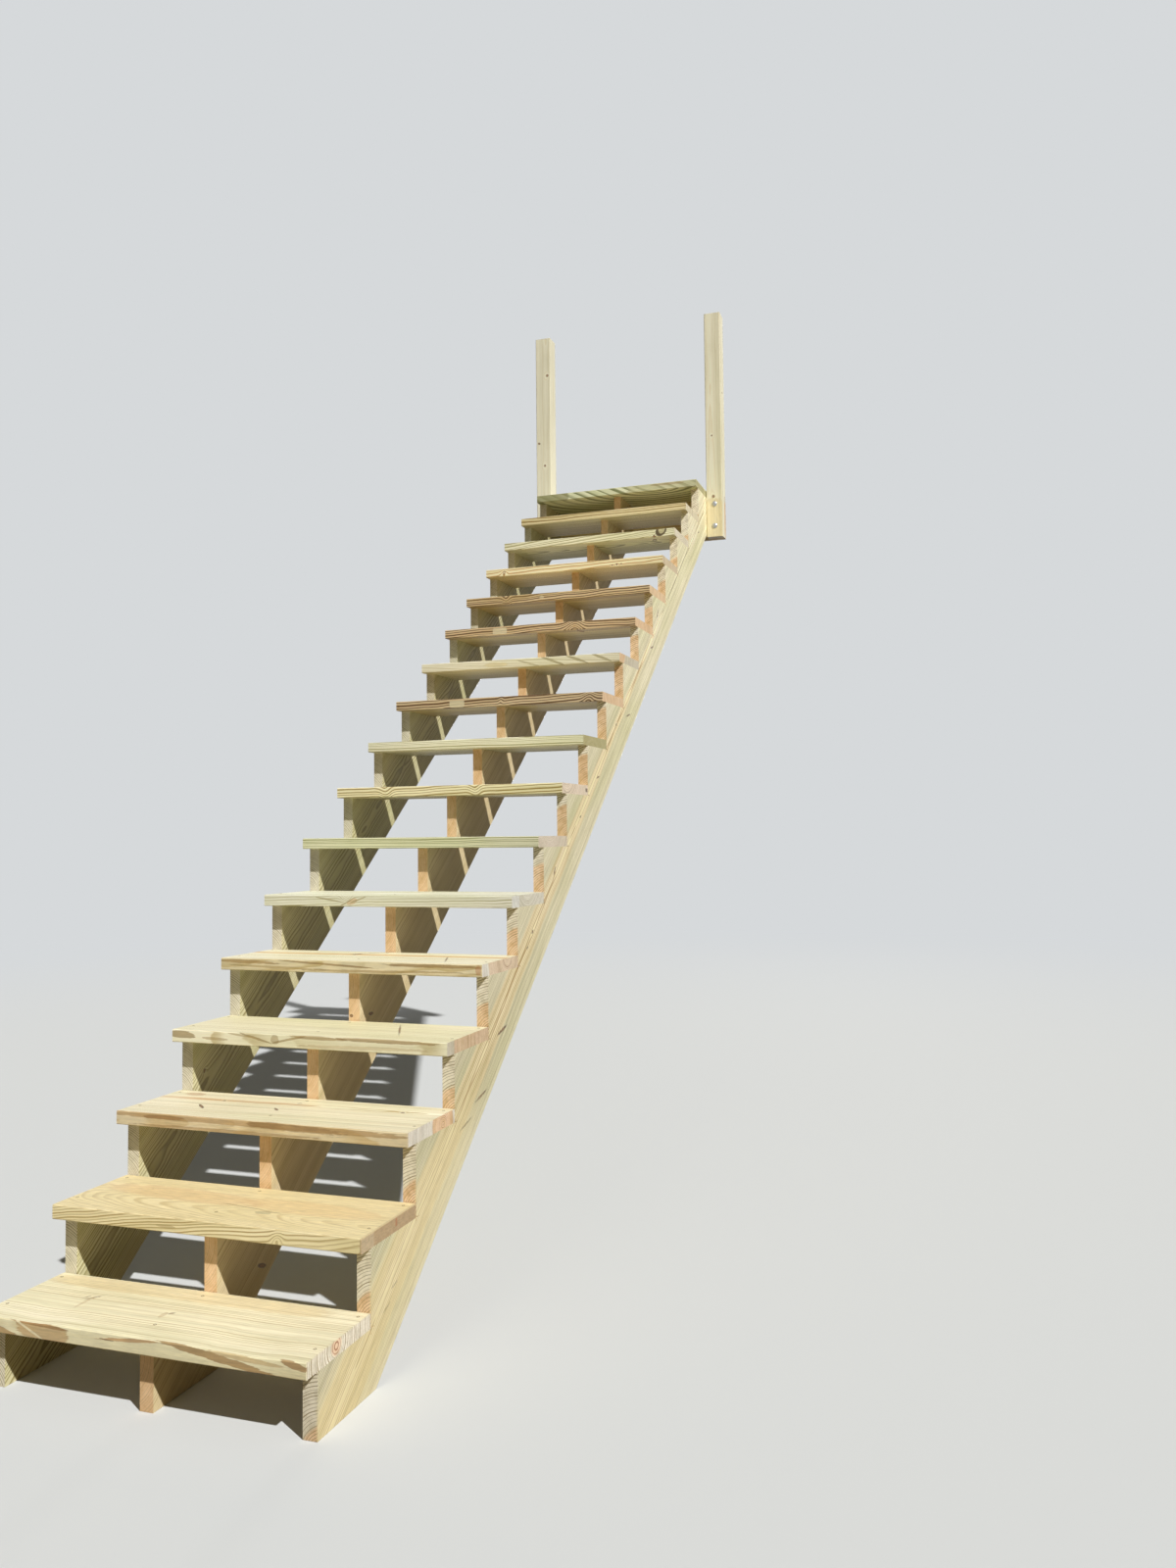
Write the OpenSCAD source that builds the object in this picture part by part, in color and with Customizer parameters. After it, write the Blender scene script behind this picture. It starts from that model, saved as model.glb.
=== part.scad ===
// Straight flight of open-riser deck stairs: notched stringers, plank treads,
// and the header and newel posts that hold its head.
// Front is -Y, the flight climbs towards +Y. The origin is the middle of the header's back face.

/* [Flight] */
// Height from one tread top to the next
rise = 190.5; // [160:0.5:200]
// Level distance from one riser cut to the next
run = 240; // [225:1:270]
// Width of the flight over the outer faces of its stringers
stair_width = 914; // [700:1:1100]

/* [Treads] */
// Width of a tread board from its nosing to its back edge
tread_depth = 286; // [280:1:300]
// Thickness of a tread board
tread_thick = 38; // [25:1:50]
// Gap between a tread's back edge and the riser cut behind it
back_gap = 2; // [1:0.5:6]

/* [Stringers] */
// Thickness of a stringer board
stringer_thick = 38; // [30:1:50]
// Width of a stringer board before it is notched
stringer_depth = 286; // [270:1:320]

/* [Header] */
// Thickness of the header board
header_thick = 38; // [30:1:50]
// Height of the header board
header_height = 235; // [184:1:286]
// Thickness of the deck boards that lie on the header beyond this part
deck_board = 25; // [20:1:30]

/* [Newel posts] */
// Side of a square newel post
newel_side = 89; // [80:1:140]
// Height of a newel post above the deck
newel_height = 1000; // [900:5:1100]
// Depth of the notch that seats a newel post on the header
newel_notch = 38; // [25:1:44]
// Clearance between a newel post and the stringer beside it
newel_gap = 2; // [1:0.5:6]
// Diameter of the bolt holes through a newel post and the header
bolt_hole = 13; // [10:0.5:16]

/* [Edges] */
// Radius of the eased edges of the boards
board_ease = 3; // [1:0.5:5]
// Radius of the eased edges of the posts
post_ease = 4; // [1:0.5:6]

/* [Hidden] */
// Treads, one node each, the top one level with the deck
tread_count = 17;
pitch = atan2(rise, run);
slope = rise / run;
nosing = tread_depth + back_gap - run;
deck_top = header_height / 2 + deck_board;
header_front = -header_thick;
header_top = header_height / 2;
header_bottom = -header_height / 2;
flight_front = header_front - tread_count * run;
ground = deck_top - tread_count * rise;
stringer_drop = stringer_depth / cos(pitch);
side_x = (stair_width - stringer_thick) / 2;
newel_x = stair_width / 2 + newel_gap + newel_side / 2;
newel_front = header_front + newel_notch - newel_side;
header_length = 2 * (newel_x + newel_side / 2);
bolt_rows = [header_bottom + header_height * 0.26, header_top - header_height * 0.22];
bore_fn = 48;

// Height of the tread cut that carries tread i, counted from 1 at the foot
function cut_z(i) = ground + i * rise - tread_thick;

// Front of the tread cut that carries tread i, which is also its riser cut
function cut_y(i) = flight_front + (i - 1) * run;

// Height of the stringer's lower edge at a given y
function lower_z(y) = cut_z(1) + slope * (y - cut_y(1)) - stringer_drop;

// Y at which the stringer's lower edge meets a given height
function lower_y(z) = cut_y(1) + (z - cut_z(1) + stringer_drop) / slope;

// Steps of the sawtooth from the foot to the head, as [y, z] points
function sawtooth() = [
    for (i = [1 : tread_count])
        each [[cut_y(i), cut_z(i)], [cut_y(i + 1), cut_z(i)]]
];

// Outline of a notched stringer in the YZ plane: level foot cut, teeth, plumb head cut, lower edge
module stringer_outline() {
    polygon(concat(
        [[cut_y(1), ground]],
        sawtooth(),
        [[header_front, lower_z(header_front)], [lower_y(ground), ground]]
    ));
}

// Rectangle centred on the origin with rounded corners
module eased_rect(width, height, radius) {
    square([width - 2 * radius, height], center = true);
    square([width, height - 2 * radius], center = true);
    for (sx = [-1, 1])
        for (sy = [-1, 1])
            translate([sx * (width / 2 - radius), sy * (height / 2 - radius)])
                circle(r = radius, $fn = 24);
}

// What is planed off one lower edge of a stringer, run along its pitch; side is -1 or 1
module edge_waste(side) {
    length = 2 * stringer_drop + tread_count * run / cos(pitch);
    translate([side * stringer_thick / 2, cut_y(1), lower_z(cut_y(1))])
        rotate([pitch, 0, 0])
            translate([0, -stringer_drop, 0])
                rotate([-90, 0, 0])
                    linear_extrude(height = length)
                        difference() {
                            translate([side > 0 ? -board_ease : -1, -board_ease])
                                square(board_ease + 1);
                            translate([-side * board_ease, -board_ease])
                                circle(r = board_ease, $fn = 24);
                        }
}

// Stringer board standing on edge at a given x
module stringer(x) {
    color([0.82, 0.73, 0.52])
        translate([x, 0, 0])
            difference() {
                translate([-stringer_thick / 2, 0, 0])
                    rotate([90, 0, 90])
                        linear_extrude(height = stringer_thick)
                            stringer_outline();
                edge_waste(-1);
                edge_waste(1);
            }
}

module stringer_left() {
    stringer(-side_x);
}

module stringer_center() {
    stringer(0);
}

module stringer_right() {
    stringer(side_x);
}

// Tread board i, laid on the tread cuts with its nosing in front of the riser cut
module tread(i) {
    color([0.84, 0.77, 0.55])
        translate([
            -stair_width / 2,
            cut_y(i) - nosing + tread_depth / 2,
            cut_z(i) + tread_thick / 2
        ])
            rotate([90, 0, 90])
                linear_extrude(height = stair_width)
                    eased_rect(tread_depth, tread_thick, board_ease);
}

// Bolt holes along Y, centred on x, through the header and a newel post
module bolt_holes(x) {
    for (z = bolt_rows)
        translate([x, newel_front - 1, z])
            rotate([-90, 0, 0])
                cylinder(d = bolt_hole, h = -newel_front + 2, $fn = bore_fn);
}

// Header board that the stringers butt against
module header() {
    color([0.80, 0.70, 0.47])
        difference() {
            translate([-header_length / 2, header_front / 2, 0])
                rotate([90, 0, 90])
                    linear_extrude(height = header_length)
                        eased_rect(header_thick, header_height, board_ease);
            bolt_holes(-newel_x);
            bolt_holes(newel_x);
        }
}

// Newel post at a given x, notched at the back so that it seats on the header
module newel(x) {
    color([0.78, 0.74, 0.53])
        difference() {
            translate([x, newel_front + newel_side / 2, header_bottom])
                linear_extrude(height = header_height + deck_board + newel_height)
                    eased_rect(newel_side, newel_side, post_ease);
            translate([x - newel_side, header_front, header_bottom - 1])
                cube([2 * newel_side, header_thick + newel_side, header_height + 1]);
            bolt_holes(x);
        }
}

module newel_left() {
    newel(-newel_x);
}

module newel_right() {
    newel(newel_x);
}

stringer_left();
stringer_center();
stringer_right();
tread(1);  // tread_01
tread(2);  // tread_02
tread(3);  // tread_03
tread(4);  // tread_04
tread(5);  // tread_05
tread(6);  // tread_06
tread(7);  // tread_07
tread(8);  // tread_08
tread(9);  // tread_09
tread(10);  // tread_10
tread(11);  // tread_11
tread(12);  // tread_12
tread(13);  // tread_13
tread(14);  // tread_14
tread(15);  // tread_15
tread(16);  // tread_16
tread(17);  // tread_17
header();
newel_left();
newel_right();
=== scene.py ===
"""Wooden deck stairs: seventeen open treads on three cut stringers, a header and two notched newel posts.

Every board is a solid with its own growth rings. The finish knows where the pith runs, so the tops,
the edges and the end grain of one board agree, as they do in sawn pine.
"""

import logging
import math
from dataclasses import dataclass, field
from enum import Enum
from functools import partial

import bmesh
import bpy
from mathutils import Matrix, Vector, noise


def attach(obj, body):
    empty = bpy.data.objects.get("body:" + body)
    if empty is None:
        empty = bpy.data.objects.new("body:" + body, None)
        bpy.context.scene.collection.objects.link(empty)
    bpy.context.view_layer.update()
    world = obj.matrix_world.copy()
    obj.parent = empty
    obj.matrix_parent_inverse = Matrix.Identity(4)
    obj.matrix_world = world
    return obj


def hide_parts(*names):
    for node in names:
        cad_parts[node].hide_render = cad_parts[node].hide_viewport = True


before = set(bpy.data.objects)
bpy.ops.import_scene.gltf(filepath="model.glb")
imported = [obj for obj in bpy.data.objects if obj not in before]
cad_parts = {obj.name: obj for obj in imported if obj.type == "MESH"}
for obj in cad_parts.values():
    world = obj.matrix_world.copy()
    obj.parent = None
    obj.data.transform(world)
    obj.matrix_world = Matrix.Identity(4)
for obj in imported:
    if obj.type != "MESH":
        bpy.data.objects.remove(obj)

LOG = logging.getLogger("deck_stairs")
SHARP = math.radians(32)
Triple = tuple[float, float, float]
Pair = tuple[float, float]
Rgba = tuple[float, float, float, float]
Socket = bpy.types.NodeSocket


def tone(red: float, green: float, blue: float) -> Rgba:
    """A colour as the eye reads it, turned into the light that a shader takes.

    Args:
        red: Red from 0 to 255.
        green: Green from 0 to 255.
        blue: Blue from 0 to 255.

    Returns:
        The four channels of a colour socket.
    """
    parts = [c / 255.0 for c in (red, green, blue)]
    light = [c / 12.92 if c <= 0.04045 else ((c + 0.055) / 1.055) ** 2.4 for c in parts]
    return (*light, 1.0)


@dataclass(frozen=True)
class Flight:
    """Driving sizes of the flight in metres, measured from the middle of the header's back face.

    Attributes:
        steps: How many treads there are.
        rise: Height of a step.
        run: Depth of a step.
        deck: Height of the topmost tread.
        plank: Thickness of the boards.
        plank_depth: Width of a tread's and a stringer's board.
        nosing: How far a tread stands out in front of its seat.
        half_width: Half the length of a tread.
        post: Side of a newel.
        gap: Play between a tread's end and a newel.
        header_height: Width of the header's board, which stands on edge.
    """

    steps: int = 17
    rise: float = 0.1905
    run: float = 0.240
    deck: float = 0.1425
    plank: float = 0.038
    plank_depth: float = 0.286
    nosing: float = 0.048
    half_width: float = 0.457
    post: float = 0.089
    gap: float = 0.002
    header_height: float = 0.235

    @property
    def ground(self) -> float:
        """Height of the ground."""
        return self.deck - self.steps * self.rise

    @property
    def side(self) -> float:
        """How far an outer stringer's middle is from the flight's."""
        return self.half_width - self.plank / 2

    @property
    def post_x(self) -> float:
        """How far a newel's middle is from the flight's."""
        return self.half_width + self.gap + self.post / 2

    @property
    def pitch(self) -> float:
        """Slope of the flight in radians."""
        return math.atan2(self.rise, self.run)

    def seat(self, step: int) -> Pair:
        """Front end and height of the cut that carries a tread, as y and z."""
        return (step - 1 - self.steps) * self.run - self.plank, self.ground + step * self.rise - self.plank

    def tread_centre(self, step: int) -> Vector:
        """Middle of a tread board."""
        y, z = self.seat(step)
        return Vector((0.0, y - self.nosing + self.plank_depth / 2, z + self.plank / 2))


FLIGHT = Flight()


class Lie(Enum):
    """How a board lies: the directions of its length, its width and its thickness."""

    TREAD = "tread"
    STRINGER = "stringer"
    HEADER = "header"
    POST = "post"

    def turn(self) -> Matrix:
        """The turn from the board's own axes to the stairs' axes.

        Returns:
            A rotation whose columns are length, width and thickness.
        """
        c, s = math.cos(FLIGHT.pitch), math.sin(FLIGHT.pitch)
        axes = {
            Lie.TREAD: ((1, 0, 0), (0, 1, 0), (0, 0, 1)),
            Lie.STRINGER: ((0, c, s), (0, -s, c), (1, 0, 0)),
            Lie.HEADER: ((1, 0, 0), (0, 0, 1), (0, -1, 0)),
            Lie.POST: ((0, 0, 1), (1, 0, 0), (0, 1, 0)),
        }[self]
        return Matrix(axes).transposed()


@dataclass(frozen=True)
class Wave:
    """How a noise waves.

    Attributes:
        stretch: Waves to the metre along each axis.
        detail: Finer layers.
        rough: Strength of the finer layers.
    """

    stretch: Triple
    detail: float = 2.0
    rough: float = 0.5


class Graph:
    """A node tree that is being wired, with one short call for each kind of sum that wood needs."""

    ROW = 12
    PACE = (190, -260)

    def __init__(self, tree: bpy.types.NodeTree) -> None:
        """Keeps the tree and counts the nodes, to lay them out in rows.

        Args:
            tree: The tree to wire.
        """
        self.tree = tree
        self.count = 0
        self.given: bpy.types.Node | None = None
        self.result: bpy.types.Node | None = None

    @classmethod
    def group(cls, name: str, inputs: dict[str, tuple[str, ...]], outputs: dict[str, tuple[str, ...]]) -> "Graph":
        """Starts a node group with its sockets.

        Args:
            name: Name of the group.
            inputs: Names of the sockets that it takes, under their kind: Float, Vector or Color.
            outputs: The same for what it gives back.

        Returns:
            The graph, whose `given` node holds the inputs and `result` node takes the outputs.
        """
        graph = cls(bpy.data.node_groups.new(name, "ShaderNodeTree"))
        for way, kinds in (("INPUT", inputs), ("OUTPUT", outputs)):
            for kind, labels in kinds.items():
                for label in labels:
                    graph.tree.interface.new_socket(label, in_out=way, socket_type=f"NodeSocket{kind}")
        graph.given = graph.node("NodeGroupInput")
        graph.result = graph.node("NodeGroupOutput")
        return graph

    def node(self, kind: str, inputs: dict[int | str, object] | None = None, **settings: object) -> bpy.types.Node:
        """Adds one node.

        Args:
            kind: Blender's name for the node.
            inputs: What its inputs take, by name or by order: numbers, vectors, colours or sockets.
            settings: Properties to set on it.

        Returns:
            The new node.
        """
        node = self.tree.nodes.new(kind)
        node.location = (self.count % self.ROW * self.PACE[0], self.count // self.ROW * self.PACE[1])
        self.count += 1
        for label, value in settings.items():
            setattr(node, label, value)
        self.feed(node, inputs or {})
        return node

    def feed(self, node: bpy.types.Node, inputs: dict[int | str, object]) -> None:
        """Links a node's inputs to other sockets, or sets them to plain values.

        Args:
            node: The node.
            inputs: What its inputs take, by name or by order.
        """
        for label, value in inputs.items():
            if isinstance(value, Socket):
                self.tree.links.new(value, node.inputs[label])
            else:
                node.inputs[label].default_value = value

    def take(self, label: str) -> Socket:
        """One of the group's inputs, by name."""
        return self.given.outputs[label]

    def give(self, **values: Socket) -> None:
        """Links sockets to the group's outputs, by name."""
        self.feed(self.result, values)

    def maths(self, operation: str, *terms: object, clamp: bool = False) -> Socket:
        """A sum of numbers.

        Args:
            operation: Blender's name for the sum.
            terms: Numbers or sockets.
            clamp: Whether the result is kept between 0 and 1.

        Returns:
            The result's socket.
        """
        return self.node("ShaderNodeMath", dict(enumerate(terms)), operation=operation, use_clamp=clamp).outputs[0]

    def plus(self, first: object, second: object) -> Socket:
        """Adds two numbers."""
        return self.maths("ADD", first, second)

    def minus(self, first: object, second: object) -> Socket:
        """Takes the second number from the first."""
        return self.maths("SUBTRACT", first, second)

    def times(self, first: object, second: object) -> Socket:
        """Multiplies two numbers."""
        return self.maths("MULTIPLY", first, second)

    def vector(self, operation: str, *terms: object) -> Socket:
        """A sum of vectors.

        Args:
            operation: Blender's name for the sum.
            terms: Vectors or sockets.

        Returns:
            The result's socket, a number for LENGTH and DOT_PRODUCT.
        """
        node = self.node("ShaderNodeVectorMath", dict(enumerate(terms)), operation=operation)
        return node.outputs["Value" if operation in ("LENGTH", "DOT_PRODUCT") else "Vector"]

    def scale(self, place: object, factor: object) -> Socket:
        """A vector times a number."""
        return self.node("ShaderNodeVectorMath", {0: place, "Scale": factor}, operation="SCALE").outputs["Vector"]

    def split(self, place: object) -> tuple[Socket, ...]:
        """The three parts of a vector."""
        return tuple(self.node("ShaderNodeSeparateXYZ", {0: place}).outputs)

    def join(self, *parts: object) -> Socket:
        """A vector from up to three numbers, the rest being 0."""
        return self.node("ShaderNodeCombineXYZ", dict(enumerate(parts))).outputs[0]

    def step(self, value: object, low: object, high: object) -> Socket:
        """Rises smoothly from 0 at low to 1 at high, or falls where low is the larger."""
        inputs = dict(enumerate((value, low, high)))
        return self.node("ShaderNodeMapRange", inputs, interpolation_type="SMOOTHSTEP").outputs[0]

    def mix(self, factor: object, first: object, second: object, blend: str = "MIX") -> Socket:
        """Blends two colours.

        Args:
            factor: How much of the second.
            first: The colour below.
            second: The colour above.
            blend: Blender's name for the way they blend.

        Returns:
            The blended colour.
        """
        inputs = {0: factor, 6: first, 7: second}
        return self.node("ShaderNodeMix", inputs, data_type="RGBA", blend_type=blend).outputs[2]

    def tint(self, colour: object, **changes: object) -> Socket:
        """A colour with another Value or Saturation."""
        return self.node("ShaderNodeHueSaturation", {**changes, "Color": colour}).outputs[0]

    def noise(self, place: object, wave: Wave) -> Socket:
        """Noise that is centred on 0 and reaches about half a unit each way.

        Args:
            place: Where it is read, in metres.
            wave: How it waves.

        Returns:
            The noise.
        """
        spot = self.vector("MULTIPLY", place, wave.stretch)
        inputs = {"Vector": spot, "Scale": 1.0, "Detail": wave.detail, "Roughness": wave.rough}
        return self.minus(self.node("ShaderNodeTexNoise", inputs, noise_dimensions="3D").outputs[0], 0.5)

    def chance(self, number: object) -> Socket:
        """A fixed random number from 0 to 1 for each whole number."""
        return self.node("ShaderNodeTexWhiteNoise", {"W": number}, noise_dimensions="1D").outputs["Value"]

    def relief(self, height: Socket, metres: float = 1.0) -> Socket:
        """A surface that stands up by a height times so many metres."""
        return self.node("ShaderNodeBump", {"Distance": metres, "Height": height}).outputs["Normal"]


@dataclass(frozen=True)
class Knot:
    """A branch sawn through: where it breaks the surface, in the board's own metres.

    Attributes:
        out: Place along, across and through the board.
        size: Radius where it breaks the surface.
        rise: How far it climbs along the board for each metre out from the pith.
        bark: How dark its rim is, from 0 to 1.
        bare: 1 where the branch itself shows, 0 where wood has grown over it and only the grain swells.
    """

    out: Triple
    size: float = 0.009
    rise: float = 0.35
    bark: float = 0.6
    bare: float = 1.0


@dataclass(frozen=True)
class Mark:
    """A patch that isn't grain: a stain, a bark edge, a split, a pale rubbed place, painted shade, painted light.

    Attributes:
        centre: Place along, across and through the board.
        half: Half lengths on the same axes.
        colour: What it tints towards.
        strength: How much.
        ragged: How far its edge wanders, as a share of its size.
        lean: Rise across the thickness for each metre along the board.
        square: 2 for a lens, more for a squarer patch.
        broad: Whether it lies on a broad face, with its lean and outline across the board, not through it.
    """

    centre: Triple
    half: Triple
    colour: Rgba
    strength: float = 0.8
    ragged: float = 1.0
    lean: float = 0.0
    square: float = 2.0
    broad: bool = False


class WoodGroups:
    """The node groups that all boards share.

    A group's socket has the name of the Pine's, Knot's or Mark's field that it takes.
    """

    SAWN = ("knot", "rim", "bend")
    KNOT = ("size", "bark", "bare")
    MARK = ("strength", "ragged", "lean", "square")
    RINGS = ("ring", "tighten", "wander", "heart", "cut_heart", "taper", "growth")
    FIGURE = ("seed", "contrast", "cut_contrast", "green", "streak")
    COLOURS = ("sap", "late", "core", "core_late", "sawn", "sawn_core")

    TREATED = tone(234, 240, 214)
    CUT_SHADE = tone(206, 196, 186)
    BRANCH = (tone(176, 128, 74), tone(112, 72, 38))
    BARK = tone(74, 46, 26)

    STRAYING = Wave((2.6, 1.0, 1.0), 2.5, 0.55)
    KNOT_EDGE = Wave((90.0, 90.0, 90.0))
    MOTTLE = Wave((22.0, 60.0, 190.0), 5.0, 0.62)
    SLOW = Wave((2.3, 8.0, 8.0))
    QUICK = Wave((9.0, 30.0, 30.0), 3.0)
    YEARS = Wave((44.0, 1.0, 1.0), 2.5)
    UNEVEN = Wave((0.4, 3.0, 1.0))
    HEART_EDGE = Wave((3.0, 22.0, 22.0), 3.0)
    TINT = Wave((1.6, 7.0, 7.0), 3.0)
    LONG_STREAK = Wave((1.3, 40.0, 40.0), 4.0, 0.7)
    FIBRE = Wave((7.0, 330.0, 330.0), 2.0, 0.6)
    BLOT = Wave((3.2, 5.0, 5.0))
    DASH = Wave((26.0, 640.0, 640.0), 1.0)
    KNOT_WOOD = Wave((150.0, 150.0, 150.0), 3.0)

    def __init__(self) -> None:
        """Wires each group once."""
        self.pith, self.knot, self.mark, self.wood = self._pith(), self._knot(), self._mark(), self._wood()

    @classmethod
    def _pith(cls) -> bpy.types.NodeTree:
        """Centres a place on the pith, which drifts and wanders along the board.

        Returns:
            The group.
        """
        inputs = {"Vector": ("place", "pith", "drift"), "Float": ("stray", "seed")}
        graph = Graph.group("pith", inputs, {"Vector": ("round",)})
        place, seed = graph.take("place"), graph.take("seed")
        along = graph.split(place)[0]
        drift = graph.scale(graph.take("drift"), along)
        centred = graph.vector("SUBTRACT", graph.vector("SUBTRACT", place, graph.take("pith")), drift)
        strays = []
        for shift in (3.1, 57.7):
            spot = graph.join(along, graph.times(seed, 1.37), graph.plus(seed, shift))
            strays.append(graph.times(graph.noise(spot, cls.STRAYING), graph.take("stray")))
        graph.give(round=graph.vector("ADD", centred, graph.join(0.0, *strays)))
        return graph.tree

    @classmethod
    def _knot(cls) -> bpy.types.NodeTree:
        """A branch that leaves the pith as a cone and pushes the rings outwards round it.

        Returns:
            The group, which passes on what earlier knots gave.
        """
        inputs = {"Vector": ("round", "way"), "Float": ("station", *cls.KNOT, *cls.SAWN)}
        graph = Graph.group("knot", inputs, {"Float": cls.SAWN})
        take, times, step, maths = graph.take, graph.times, graph.step, graph.maths
        place = graph.vector("SUBTRACT", take("round"), graph.join(take("station")))
        out = graph.vector("DOT_PRODUCT", place, take("way"))
        away = graph.vector("LENGTH", graph.vector("SUBTRACT", place, graph.scale(take("way"), out)))
        away = graph.plus(away, times(graph.noise(place, cls.KNOT_EDGE), 0.0035))
        outside = graph.minus(away, times(take("size"), step(out, -0.002, 0.022)))
        alive = step(out, 0.0, 0.006)
        inside = times(times(step(outside, 0.0008, -0.0012), alive), take("bare"))
        rim = times(times(step(maths("ABSOLUTE", outside), 0.0026, 0.0002), alive), take("bark"))
        reach = maths("DIVIDE", away, times(take("size"), 2.3))
        fall = maths("EXPONENT", times(times(reach, reach), -1.0))
        push = times(times(times(fall, take("size")), 1.5), step(out, -0.004, 0.02))
        graph.give(
            knot=maths("MAXIMUM", take("knot"), inside),
            rim=maths("MAXIMUM", take("rim"), rim),
            bend=graph.plus(take("bend"), push),
        )
        return graph.tree

    @classmethod
    def _mark(cls) -> bpy.types.NodeTree:
        """A soft-edged patch in the board's own box of space, laid over a colour.

        Returns:
            The group.
        """
        inputs = {"Color": ("colour", "tint"), "Vector": ("place", "centre", "half"), "Float": cls.MARK}
        graph = Graph.group("mark", inputs, {"Color": ("colour",)})
        take, times, plus, minus, maths = graph.take, graph.times, graph.plus, graph.minus, graph.maths
        along, across, through = graph.split(graph.vector("SUBTRACT", take("place"), take("centre")))
        length, width, height = graph.split(take("half"))
        through = minus(through, times(along, take("lean")))
        mottle = graph.noise(take("place"), cls.MOTTLE)
        reach = times(mottle, take("ragged"))
        for position, limit in ((along, length), (through, height)):
            share = maths("DIVIDE", maths("ABSOLUTE", position), limit)
            reach = plus(reach, maths("POWER", share, take("square")))
        near = graph.step(minus(maths("ABSOLUTE", across), width), 0.0015, 0.0)
        mask = times(times(graph.step(reach, 1.14, 0.80), near), take("strength"))
        rim = minus(1.0, graph.step(maths("ABSOLUTE", minus(reach, 0.95)), 0.0, 0.3))
        light = minus(plus(1.0, times(mottle, 1.1)), times(rim, 0.16))
        graph.give(colour=graph.mix(mask, take("colour"), graph.tint(take("tint"), Value=light)))
        return graph.tree

    @classmethod
    def _rings(cls, graph: Graph, place: Socket) -> tuple[Socket, ...]:
        """Growth rings, each with pale early wood and a dark late edge.

        Args:
            graph: The wood's graph.
            place: Where its noises are read.

        Returns:
            The wavy distance from the pith, the share of late wood, and a wave over many years.
        """
        take, times, plus, minus, maths = graph.take, graph.times, graph.plus, graph.minus, graph.maths
        radius = graph.vector("LENGTH", graph.vector("MULTIPLY", take("round"), (0.0, 1.0, 1.0)))
        slow, quick = graph.noise(place, cls.SLOW), graph.noise(place, cls.QUICK)
        radius = plus(radius, times(slow, times(take("wander"), 2.0)))
        radius = plus(radius, times(quick, 0.0022))
        grown = maths("MAXIMUM", minus(radius, take("bend")), 0.0)
        dense = plus(1.0, times(take("tighten"), grown))
        age = maths("DIVIDE", times(grown, dense), take("ring"))
        years = graph.noise(graph.join(grown, take("seed")), cls.YEARS)
        age = plus(age, times(graph.noise(graph.join(age, take("seed")), cls.UNEVEN), 1.5))
        year, season = maths("FLOOR", age), maths("FRACT", age)
        luck = graph.chance(plus(year, take("seed")))
        weight = graph.chance(plus(times(year, 1.731), take("seed")))
        start = plus(0.25, times(plus(luck, take("end")), 0.27))
        late = minus(graph.step(season, start, 0.9), graph.step(season, 0.93, 1.0))
        late = times(maths("MAXIMUM", late, 0.0), plus(0.35, times(weight, 0.9)))
        depth = minus(take("cut_contrast"), take("contrast"))
        depth = plus(take("contrast"), times(depth, take("end")))
        late = maths("MULTIPLY", late, times(depth, plus(1.0, times(years, 1.8))), clamp=True)
        return radius, late, years

    @classmethod
    def _heart(cls, graph: Graph, place: Socket, radius: Socket) -> Socket:
        """Where heartwood is, on planed faces and on sawn ends.

        Args:
            graph: The wood's graph.
            place: Where its noise is read.
            radius: The wavy distance from the pith.

        Returns:
            1 in the heartwood and 0 outside it.
        """
        take, times, plus, minus = graph.take, graph.times, graph.plus, graph.minus
        edge = plus(radius, times(graph.noise(place, cls.HEART_EDGE), 0.016))
        along = graph.split(take("round"))[0]
        narrowed, growth = times(along, take("taper")), times(along, take("growth"))
        swollen = graph.maths("MINIMUM", growth, minus(take("growth_end"), times(growth, 2.0)))
        planed, cut = minus(take("heart"), narrowed), plus(take("cut_heart"), swollen)
        limit = plus(planed, times(minus(cut, planed), take("end")))
        return graph.step(minus(edge, limit), 0.006, -0.006)

    @classmethod
    def _colour(cls, graph: Graph, place: Socket, heart: Socket, late: Socket) -> Socket:
        """The wood's colour under the treated tint, before its fibres shade it.

        Args:
            graph: The wood's graph.
            place: Where its noise is read.
            heart: Where heartwood is.
            late: The share of late wood.

        Returns:
            The colour.
        """
        take, times, minus, mix, end = graph.take, graph.times, graph.minus, graph.mix, graph.take("end")
        early = mix(heart, take("sap"), mix(end, take("core"), take("sawn_core")))
        dark = mix(heart, take("late"), take("core_late"))
        dark = mix(times(end, 0.8), dark, cls.CUT_SHADE, blend="MULTIPLY")
        early = mix(times(end, minus(1.0, heart)), early, take("sawn"))
        colour = mix(late, early, dark)
        patch = times(graph.step(graph.noise(place, cls.TINT), -0.14, 0.2), take("green"))
        patch = times(patch, minus(1.0, times(heart, 0.6)))
        patch = times(patch, minus(1.0, times(end, 0.6)))
        return mix(patch, colour, cls.TREATED, blend="MULTIPLY")

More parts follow.
